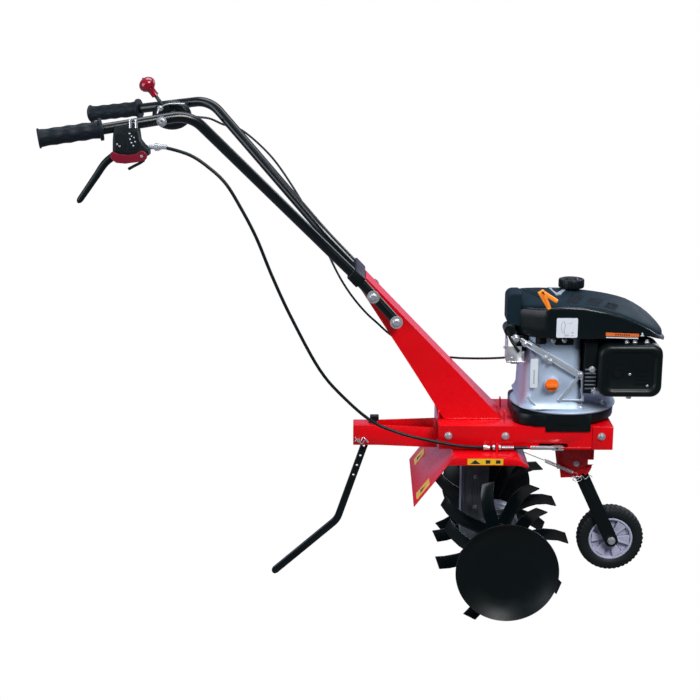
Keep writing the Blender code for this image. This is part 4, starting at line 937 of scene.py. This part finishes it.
def clutch_linkage():
    dress("clutch_clevis", "zinc", 0.0008, 30)
    end = Vector(CLUTCH_CABLE[-1])
    lug_x = 0.2800
    work = bmesh.new()
    for x0, x1, radius, sides in ((-0.030, -0.022, 0.0058, 6), (-0.022, -0.016, 0.0050, 20),
                                  (-0.010, -0.005, 0.0060, 6), (0.003, 0.008, 0.0060, 6)):
        add_rod(work, (lug_x + x0, end.y, end.z), (lug_x + x1, end.y, end.z), radius, sides)
    for i in range(12):
        x = lug_x + 0.010 + 0.0022 * i
        add_rod(work, (x, end.y, end.z), (x + 0.0014, end.y, end.z), 0.0043, 20)
    piece("lower_adjuster", work, "zinc", bevel=0.0003)
    work = bmesh.new()
    lug = rounded_rect(lug_x - 0.0035, lug_x + 0.0015, end.z - 0.012, end.z + 0.012, 0.002)
    add_prism(work, lug, -0.1225, -0.1050)
    piece("adjuster_lug", work, "red_paint", bevel=0.0008)


# ---- engine ---------------------------------------------------------------------------------
COWL_MIDDLE = Vector((0.470, 0.0))
COWL_FLOOR = 0.598
COWL_WIDEST, COWL_NOSE = 0.430, 0.075 # where the flanks start to narrow, and the length of the round nose
FAR_FALL = 0.24                       # slope of the cover on the far side
REAR_CUT = (0.064, 0.050)             # how far the cowl's rear corners are cut back, in x and in y
CASE_HALF = 0.0975
FLANGE_LUG_RADIUS = 0.1020
FLANGE_LUGS = ((0.3480, 0.0150), (0.3960, 0.0120), (0.4600, 0.0150), (0.5160, 0.0150))     # x and height
JOINT_PADS = ((0.3350, 0.5790), (0.3800, 0.5475), (0.3905, 0.5405), (0.4575, 0.5110))
PAD_FACE = 0.1040


def plan_half(x):
    """Half width of the cowl at x."""
    low, high = box("engine_shroud")
    rear = along_line(((low.x, high.y - REAR_CUT[1]), (low.x + REAR_CUT[0], high.y)), x)
    flank = high.y * (1.0 - 0.24 * max(0.0, (x - COWL_WIDEST) / 0.205) ** 2.2)
    bow = max(0.0, 1.0 - max(0.0, (x - high.x + COWL_NOSE) / COWL_NOSE) ** 2.2) ** 0.5
    return min(rear, flank * bow)


def plan_outline():
    """Points round the cowl in plan, evenly spaced, symmetrical about the middle."""
    count, steps = 112, 60
    low, high = box("engine_shroud")
    cut_x, cut_y = REAR_CUT
    corner = [(low.x, 0, 0), (low.x, cut_y - high.y, 0), (low.x + cut_x, -high.y, 0),
              (COWL_WIDEST, -high.y, 0)]
    right = [tuple(p.xy) for p in fillet_path(corner, [0.020, 0.050], 8)[1:-1]]
    for i in range(1, steps + 1):
        x = COWL_WIDEST + (high.x - COWL_WIDEST) * math.sin(math.pi / 2 * i / steps)
        right.append((x, -plan_half(x)))
    outline = right[:-1] + [(high.x, 0.0)] + [(x, -y) for x, y in reversed(right[:-1])]
    closed = outline + [outline[0]]
    lengths = [0.0]
    for a, b in zip(closed, closed[1:]):
        lengths.append(lengths[-1] + math.dist(a, b))
    points, k = [], 0
    for i in range(count):
        want = lengths[-1] * i / count
        while lengths[k + 1] < want:
            k += 1
        t = (want - lengths[k]) / (lengths[k + 1] - lengths[k])
        points.append((closed[k][0] + (closed[k + 1][0] - closed[k][0]) * t,
                       closed[k][1] + (closed[k + 1][1] - closed[k][1]) * t))
    return points


def rim_height(x, y):
    """Height of the joint between cowl and cover, which sinks with the deck on the far side."""
    rim = along_line(SHROUD_RIDGE, x)
    return min(rim, along_line(SHROUD_TOP, x) - FAR_FALL * max(y, 0.0))


def cover_height(x, y):
    """Height of the cover: crowned on the near side, sloping away on the far side."""
    rim, crown = along_line(SHROUD_RIDGE, x), along_line(SHROUD_TOP, x)
    share = min(abs(y) / max(plan_half(x), 0.004), 1.0)
    crowned = rim + (crown - rim) * (1.0 - share ** 2.0)
    return min(crowned, crown - FAR_FALL * max(y, 0.0)) - 0.0012


def floor_height(x, y=0.0):
    """Height of the cowl's lower edge, which falls towards the nose; y is not used, and is there for
    cowl_ring.
    """
    return COWL_FLOOR - max(0.0, x - 0.600) * 0.457


def cowl_ring(outline, inset, height):
    """The plan outline moved inwards, each point at height(x, y)."""
    points = []
    for x, y in outline:
        spot = Vector((x, y))
        spot = spot + (COWL_MIDDLE - spot).normalized() * inset
        points.append(Vector((spot.x, spot.y, height(spot.x, spot.y))))
    return points


def cowl():
    """Side of the cowl: a thin wall with a rolled rim that runs under the cover."""
    outline = plan_outline()

    def share(amount):
        return lambda x, y: floor_height(x) + (rim_height(x, y) - 0.006 - floor_height(x)) * amount

    def below_ridge(drop):
        return lambda x, y: rim_height(x, y) - drop

    steps = [(0.0110, below_ridge(0.0120)), (0.0026, share(0.9)), (0.0026, share(0.5)),
             (0.0026, lambda x, y: floor_height(x) + 0.001), (0.0012, floor_height),
             (0.0, lambda x, y: floor_height(x) + 0.002), (0.0, share(0.35)), (0.0, share(0.7)),
             (0.0, below_ridge(0.0075)), (0.0008, below_ridge(0.0045)), (0.0030, below_ridge(0.0020)),
             (0.0062, below_ridge(0.0016)), (0.0110, below_ridge(0.0030))]
    work = bmesh.new()
    rings = [cowl_ring(outline, inset, height) for inset, height in steps]
    add_loft(work, rings + [rings[0]], caps=False)
    bmesh.ops.remove_doubles(work, verts=work.verts, dist=0.000001)
    piece("cowl_side", work, "cowl_plastic", replaced=["engine_shroud"], sharp=60)
    top_cover(outline)


def top_cover(outline):
    work = bmesh.new()
    rings = []
    for inset, lift in ((0.0058, -0.0050), (0.0056, -0.0006), (0.0064, 0.0008), (0.0082, 0.0017),
                        (0.0110, 0.0021), (0.0180, 0.0021)):
        rings.append([Vector((p.x, p.y, cover_height(p.x, p.y) + lift - 0.0012))
                      for p in cowl_ring(outline, inset, lambda x, y: 0.0)])
    edge = rings[-1]
    for inward in (0.06, 0.13, 0.22, 0.32, 0.43, 0.54, 0.65, 0.76, 0.86, 0.94, 0.985):
        ring = []
        for spot in edge:
            x = spot.x + (COWL_MIDDLE.x - spot.x) * inward
            y = spot.y * (1.0 - inward)
            ring.append(Vector((x, y, cover_height(x, y) + 0.0009)))
        rings.append(ring)
    add_loft(work, rings)
    piece("top_cover_dome", work, "cover_plastic", replaced=["shroud_top_cover"],
          sharp=50)
    cover_vent_shade()


def cover_vent_shade():
    """Three slanting fields of small slots on each half of the cover, and two long slots behind them, drawn
    as near-black strips on its surface: painted shade in the slots.
    """
    slots, rows = 9, 3
    work = bmesh.new()
    for x0, x1, inner, outer, slant in ((0.418, 0.443, 0.048, 0.112, 0.024),
                                        (0.460, 0.486, 0.058, 0.112, 0.022),
                                        (0.501, 0.522, 0.070, 0.110, 0.016)):
        for side in (-1, 1):
            for i in range(slots):
                for j in range(rows):
                    y0 = outer + (inner - outer) * j / rows
                    ends = []
                    for y in (y0, y0 + (inner - outer) * 0.72 / rows):
                        x = x0 + (x1 - x0) * i / (slots - 1) + slant * (outer - y) / (outer - inner)
                        ends.append(Vector((x, side * y, cover_height(x, side * y) + 0.0004)))
                    add_sweep(work, [ends[0], ends[0].lerp(ends[1], 0.5), ends[1]], 0.0012, 8)
    for shift in (0.0, 0.009):
        for side in (-1, 1):
            slot = []
            for i in range(9):
                t = i / 8
                x, y = 0.372 + shift - 0.034 * t, side * (0.080 - 0.062 * t)
                slot.append(Vector((x, y, cover_height(x, y) + 0.0002)))
            add_sweep(work, slot, 0.0017, 8)
    piece("cover_vent_shade", work, "painted_shade_black", sharp=50)


def add_wall_strip(work, x0, x1, low, high, lift):
    """Thin label that follows the cowl's near wall between two heights, each (at x0, at x1)."""
    rings = []
    for i in range(13):
        t = i / 12
        x = x0 + (x1 - x0) * t
        z0, z1 = low[0] + (low[1] - low[0]) * t, high[0] + (high[1] - high[0]) * t
        y = -plan_half(x)
        section = ((y - lift, z0), (y - lift, z1), (y + 0.001, z1), (y + 0.001, z0))
        rings.append([Vector((x, *p)) for p in section])
    add_loft(work, rings)


def cowl_labels():
    """Plain labels on the near wall and a badge on the cover, with marks that say nothing."""
    near = box("engine_shroud")[0].y
    face = near - 0.0007
    work = bmesh.new()
    add_prism(work, rounded_rect(0.3975, 0.4425, 0.6010, 0.6438, 0.003), near - 0.0006, near + 0.0015)
    for x0, x1, low, high, lift in ((0.5045, 0.5750, (0.6000, 0.5950), (0.6022, 0.5972), 0.0005),
                                    (0.5822, 0.5858, (0.6010, 0.6008), (0.6075, 0.6073), 0.0005),
                                    (0.5800, 0.5880, (0.6005, 0.6003), (0.6022, 0.6020), 0.0006)):
        add_wall_strip(work, x0, x1, low, high, lift)
    piece("cowl_labels", work, "label_white", sharp=30)
    work = bmesh.new()
    add_wall_strip(work, 0.5035, 0.5765, (0.6042, 0.5990), (0.6118, 0.6062), 0.0005)
    piece("cowl_stripe", work, "label_orange", sharp=30)
    work = bmesh.new()
    for i in range(7):
        x = 0.5240 + 0.0048 * i
        z = 0.6042 - 0.0052 * (x - 0.5035) / 0.073
        add_wall_strip(work, x, x + 0.0026, (z + 0.0024, z + 0.0024), (z + 0.0052, z + 0.0052), 0.0008)
    piece("cowl_stripe_marks", work, "satin_black", sharp=30)
    work = bmesh.new()
    for points in (((0.408, 0.632), (0.413, 0.636), (0.416, 0.628), (0.414, 0.618), (0.416, 0.609),
                    (0.424, 0.610)), ((0.408, 0.632), (0.408, 0.620), (0.412, 0.611)),
                   ((0.420, 0.633), (0.428, 0.632), (0.430, 0.637))):
        add_sweep(work, smooth_route([(x, face, z) for x, z in points], 4), 0.0005, 6)
    for x, z, width, height in ((0.4145, 0.6045, 0.0110, 0.0015), (0.4295, 0.6045, 0.0045, 0.0015),
                                (0.4300, 0.6105, 0.0035, 0.0030)):
        add_box(work, (x, face - 0.0002, z), (x + width, face + 0.0003, z + height))
    piece("cowl_label_marks", work, "label_grey", sharp=30)
    work = bmesh.new()
    corners = ((0.3936, 0.0040), (0.4213, 0.0180), (0.4310, -0.0160), (0.4142, -0.0600), (0.4030, -0.0640))
    add_loft(work, [[Vector((x, y, cover_height(x, y) + lift)) for x, y in corners] for lift in (0.0004,
            0.0030)])
    piece("cover_badge", work, "label_grey", sharp=30)


def flange_spot(x, side):
    """How far to the side a lug of the flange stands at x."""
    return side * math.sqrt(FLANGE_LUG_RADIUS ** 2 - (x - CRANK_X) ** 2)


def crankcase():
    """Cast case: round flange with lugs, rounded block, slanted joint flange, ribs and filler boss."""
    foot = box("crankcase")[0].z
    flange = [(0.030, foot), (0.1150, foot), (0.1172, foot + 0.0015), (0.1174, foot + 0.0045),
              (0.1140, foot + 0.0070), (0.1040, foot + 0.0112), (0.0880, foot + 0.0145),
              (0.030, foot + 0.0145)]
    x0, x1 = 0.3375, 0.4625
    middle = (x0 + x1) / 2
    block = rounded_rect(x0, x1, -CASE_HALF, CASE_HALF, 0.026, 9)
    rings = []
    for z, grow in ((foot + 0.010, 0.0100), (foot + 0.016, 0.0045), (foot + 0.026, 0.0010),
                    (foot + 0.050, 0.0), (0.592, -0.003)):
        rings.append([Vector((middle + (x - middle) * (1 + grow / 0.064), y * (1 + grow / CASE_HALF), z))
                      for x, y in block])
    work = bmesh.new()
    add_turned(work, flange, (CRANK_X, 0, 0), (0, 0, 1), 96)
    add_loft(work, rings)
    for side in (-1, 1):
        add_pin(work, (0.3964, 0.4880), side * CASE_HALF - side * 0.004, side * 0.1060, 0.0180, 40, 0.0168)
        for x, tall in FLANGE_LUGS:
            y = flange_spot(x, side)
            add_rod(work, (x, y, foot + 0.004), (x, y, foot + tall), 0.0095, 24, 0.0075)
    piece("engine_case", work, "cast_aluminium", replaced=["crankcase"], bevel=0.0012,
          sharp=32)
    work = bmesh.new()
    for side in (-1, 1):
        add_joint_flange(work, side * CASE_HALF, side)
    piece("case_joint_flange", work, "flange_aluminium", bevel=0.0008, sharp=32)
    work = bmesh.new()
    for side in (-1, 1):
        for x, tall in FLANGE_LUGS:
            add_hex_bolt(work, (x, flange_spot(x, side), foot + tall), (0, 0, 1), 0.0052, 0.0050)
        for x, z in JOINT_PADS:
            add_hex_bolt(work, (x, side * PAD_FACE, z), (0, side, 0), 0.0048, 0.0045)
    piece("engine_bolts", work, "zinc")
    case_labels()


def case_labels():
    face = -CASE_HALF
    for name, look, outline, stand in (
            ("case_band", "label_lilac", rounded_rect(0.3488, 0.3575, 0.4740, 0.5720, 0.0015), 0.0006),
            ("case_label", "label_white", rounded_rect(0.3490, 0.3655, 0.4800, 0.5450, 0.0015), 0.0010)):
        work = bmesh.new()
        add_prism(work, outline, face - stand, face + 0.001)
        piece(name, work, look, sharp=30)
    work = bmesh.new()
    for i in range(7):
        z = 0.4890 + 0.0046 * i
        add_prism(work, rounded_rect(0.3560, 0.3590, z, z + 0.0030, 0.0005, 3), face - 0.0013, face)
    piece("case_label_marks", work, "label_grey", sharp=30)


def add_joint_flange(work, face, side):
    """The slanted joint of the case with its two raised lines and bolted pads, and the ribs below it."""
    for start, stop, width, stand in (((0.3265, 0.5880), (0.4640, 0.5045), 0.0090, 0.0060),
                                      ((0.3300, 0.5790), (0.4600, 0.5000), 0.0022, 0.0066),
                                      ((0.3420, 0.5850), (0.4560, 0.5160), 0.0022, 0.0066),
                                      ((0.4560, 0.5080), (0.4130, 0.4500), 0.0075, 0.0045),
                                      ((0.4610, 0.5080), (0.4650, 0.4500), 0.0050, 0.0035),
                                      ((0.4100, 0.4520), (0.4660, 0.4520), 0.0045, 0.0030),
                                      ((0.3430, 0.4600), (0.3620, 0.4400), 0.0040, 0.0045)):
        a, b = Vector(start), Vector(stop)
        along = (b - a).normalized()
        across = Vector((-along.y, along.x)) * width / 2
        outline = [tuple(p) for p in (a + across, a - across, b - across, b + across)]
        add_prism(work, outline, *sorted((face - side * 0.002, face + side * stand)))
    for spot in JOINT_PADS:
        add_pin(work, spot, face - side * 0.002, side * PAD_FACE, 0.0070, 24, 0.0064)


def engine_details():
    dress("engine_adapter", "satin_black", 0.0012, 30)
    dress("engine_cylinder", "gear_aluminium", 0.0008, 30)
    dress("control_bracket", "zinc", 0.0005, 30)
    low, high = box("air_filter_cover")
    radius = 0.015
    top_left = arc((low.x + radius, high.z - radius), radius, 90, 180, 8)
    work = bmesh.new()
    add_prism(work, [(low.x + 0.030, high.z), *top_left, (low.x, low.z + 0.008), (low.x + 0.006, low.z),
                     (low.x + 0.030, low.z)], low.y, high.y)
    piece("air_filter_box", work, "cover_plastic", replaced=["air_filter_cover"],
          bevel=0.0035)
    carburettor()
    work = bmesh.new()
    for i in range(6):
        z = 0.4800 + 0.0085 * i
        add_box(work, (0.4660, -0.1110, z), (0.4900, -0.1060, z + 0.0030))
    piece("cylinder_fins", work, "gear_aluminium", bevel=0.0006)
    oil_filler()
    fuel_cap()
    starter_handle()
    muffler()


def carburettor():
    """Dark bodies with a hose behind the case, and the small plates, pins and bolts on them."""
    hose = smooth_route([(0.3150, -0.0840, 0.6180), (0.3010, -0.0900, 0.6170), (0.2985, -0.0940, 0.6050),
                         (0.3040, -0.0980, 0.5900), (0.3140, -0.1040, 0.5740), (0.3230, -0.1060, 0.5630)], 6)
    work = bmesh.new()
    add_sweep(work, hose, 0.0032, 16)
    add_pin(work, (0.3030, 0.6060), -0.0960, -0.0500, 0.0125, 32)
    add_box(work, (0.3180, -0.0900, 0.5600), (0.3400, -0.0300, 0.5950))
    add_rod(work, (0.3700, -0.0985, 0.5940), (0.3700, -0.0985, 0.5800), 0.0120, 24)
    add_box(work, (0.4000, -0.1000, 0.5760), (0.4400, -0.0800, 0.5960))
    add_box(work, (0.4640, -0.1080, 0.4700), (0.4920, -0.0500, 0.5850))
    piece("carburettor_body", work, "satin_black", bevel=0.0030)
    work = bmesh.new()
    add_box(work, (0.2990, -0.0980, 0.5400), (0.3340, -0.0500, 0.5600))
    add_box(work, (0.3060, -0.1000, 0.5340), (0.3240, -0.0500, 0.5400))
    add_rod(work, (0.2900, -0.0920, 0.5700), (0.3080, -0.0920, 0.5660), 0.0030, 20)
    add_pin(work, (0.3060, 0.5560), -0.0960, -0.1040, 0.0065)
    add_rod(work, (0.3250, -0.1040, 0.5920), (0.3500, -0.1050, 0.5760), 0.0020, 12)
    for at, size, height, washer in (((0.3150, -0.0980, 0.5900), 0.0062, 0.0070, 0.0090),
                                     ((0.3060, -0.1000, 0.5475), 0.0048, 0.0045, 0.0070),
                                     ((0.3700, -0.1020, 0.5905), 0.0042, 0.0045, 0.0055),
                                     ((0.3960, -0.1020, 0.5870), 0.0042, 0.0045, 0.0055),
                                     ((0.4200, -0.1020, 0.5875), 0.0042, 0.0045, 0.0055),
                                     ((0.4810, -0.1085, 0.5240), 0.0052, 0.0060, 0.0075),
                                     ((0.4880, -0.1085, 0.4760), 0.0052, 0.0060, 0.0075)):
        add_hex_bolt(work, at, (0, -1, 0), size, height, washer)
    piece("carburettor_links", work, "zinc", bevel=0.0006)


def oil_filler():
    low, high = box("oil_cap")
    centre = (low + high) / 2
    work = bmesh.new()
    cap = [(0.0001, 0.0), (0.0145, 0.0), (0.0148, 0.0010), (0.0148, 0.0040), (0.0132, 0.0052),
           (0.0001, 0.0052)]
    add_turned(work, cap, (centre.x, high.y, centre.z), (0, -1, 0), 56)
    grip = rounded_rect(centre.x - 0.0125, centre.x + 0.0125, centre.z - 0.0034, centre.z + 0.0034, 0.0033)
    add_prism(work, grip, low.y + 0.0005, high.y - 0.004)
    piece("oil_cap_plug", work, "dark_orange_and_hollow_shade", "oil_filler", ["oil_cap"],
          bevel=0.0010)


def fuel_cap():
    low, high = box("fuel_cap")
    centre = (low + high) / 2
    outer = (high.x - low.x) / 2

    def knurl(angle, radius, height):
        if radius < outer - 0.0015:
            return radius
        return radius - (0.0016 if math.sin(angle * 22) > 0.2 else 0.0)

    cap = [(0.0001, 0.0), (outer - 0.004, 0.0), (outer - 0.001, 0.0015), (outer, 0.0040), (outer, 0.0170),
           (outer - 0.001, 0.0195), (outer - 0.0045, 0.0205), (outer - 0.0070, 0.0190), (0.0150, 0.0190),
           (0.0120, 0.0225), (0.0001, 0.0228)]
    work = bmesh.new()
    add_turned(work, cap, (centre.x, centre.y, low.z), (0, 0, 1), 176, knurl)
    piece("fuel_cap_knurled", work, "black_plastic", "fuel_filler", replaced=["fuel_cap"], sharp=40)


def starter_handle():
    """Two arms that spread from the handle's upper rear end, with a darker orange patch on the near side as
    painted shade of its hollow.
    """
    low, high = box("starter_handle")
    near, far = low.y, high.y
    apex = Vector((0.3600, 0.0, 0.7040))
    slim = 0.0085
    work = bmesh.new()
    for x, z, wide in ((0.3805, 0.6645, 0.0150), (0.3965, 0.6810, 0.0090)):
        tip = Vector((x, 0.0, z))
        along = (tip - apex).normalized()
        across = Vector((-along.z, 0.0, along.x))
        rings = []
        for t in (0.0, 0.25, 0.5, 0.75, 1.0):
            half = (wide + (slim - wide) * t) / 2
            rings.append([apex.lerp(tip, t) + across * half * edge + Vector((0, y, 0))
                          for edge, y in ((1, near), (-1, near), (-1, far), (1, far))])
        add_loft(work, rings)
    piece("starter_pull", work, "orange_plastic", "starter", replaced=["starter_handle"], bevel=0.0024)
    # A thin darker orange patch on the near face: painted shade in the handle's hollow.
    work = bmesh.new()
    slot = [(apex.x + 0.0005, apex.z - 0.0065), (apex.x + 0.0045, apex.z - 0.0035), (0.3775, 0.6700),
            (0.3750, 0.6705)]
    add_prism(work, slot, near - 0.0003, near + 0.001)
    piece("starter_pull_hollow_shade", work, "dark_orange_and_hollow_shade", "starter", sharp=30)


def muffler():
    """Pressed guard: a rounded box with a raised rim round a sunk panel."""
    low, high = box("muffler_guard")
    front = low.y
    panel = front + 0.0053
    outlet = (0.5335, 0.521)
    rings = []
    for inset, y in ((0.0, high.y), (0.0, front + 0.014), (0.0015, front + 0.006), (0.0055, front + 0.0012),
                     (0.0115, front), (0.0150, front + 0.0010), (0.0175, front + 0.0045),
                     (0.0190, front + 0.0055)):
        outline = rounded_rect(low.x + inset * 1.15, high.x - inset, low.z + inset, high.z - inset,
                               max(0.024 - inset * 0.5, 0.010), 9)
        rings.append([Vector((x, y, z)) for x, z in outline])
    work = bmesh.new()
    add_loft(work, rings)
    piece("muffler_box", work, "satin_black", replaced=["muffler_guard"], sharp=50)
    work = bmesh.new()
    for i in range(4):
        z = 0.4950 + 0.0100 * i
        add_prism(work, rounded_rect(0.572, 0.604, z, z + 0.0045, 0.0020, 4), panel - 0.0010, panel + 0.001)
    piece("muffler_louvres", work, "satin_black", sharp=40)
    # A near-black disc inside the outlet's rim: painted shade of the outlet's opening.
    work = bmesh.new()
    add_pin(work, outlet, panel - 0.0003, panel + 0.002, 0.0095, 32)
    piece("muffler_outlet_shade", work, "painted_shade_black", sharp=40)
    work = bmesh.new()
    add_turned(work, [(0.0095, 0.0), (0.0125, 0.0), (0.0118, 0.0014), (0.0100, 0.0016)],
               (outlet[0], panel, outlet[1]), (0, -1, 0), 40)
    piece("muffler_outlet_rim", work, "satin_black", sharp=40)
    work = bmesh.new()
    for x, z in ((0.5595, 0.5180), (0.5980, 0.4930)):
        add_hex_bolt(work, (x, panel, z), (0, -1, 0), 0.0026, 0.0030)
    add_hex_bolt(work, (0.5620, front + 0.020, low.z), (0, 0, -1), 0.0060, 0.0060)
    for x in (0.5530, 0.5700, 0.5960):
        add_hex_bolt(work, (x, front + 0.022, high.z + 0.0005), (0, 0, 1), 0.0042, 0.0050, 0.0060)
    piece("muffler_screws", work, "zinc")


add_camera()
cables()
add_studio()
handlebars()
grips()
handle_fasteners()
throttle_control()
clutch_control()
red_frame()
guard_labels()
stake_and_clip()
transport_wheel()
tines()
gearcase()
clutch_linkage()
cowl()
cowl_labels()
crankcase()
engine_details()
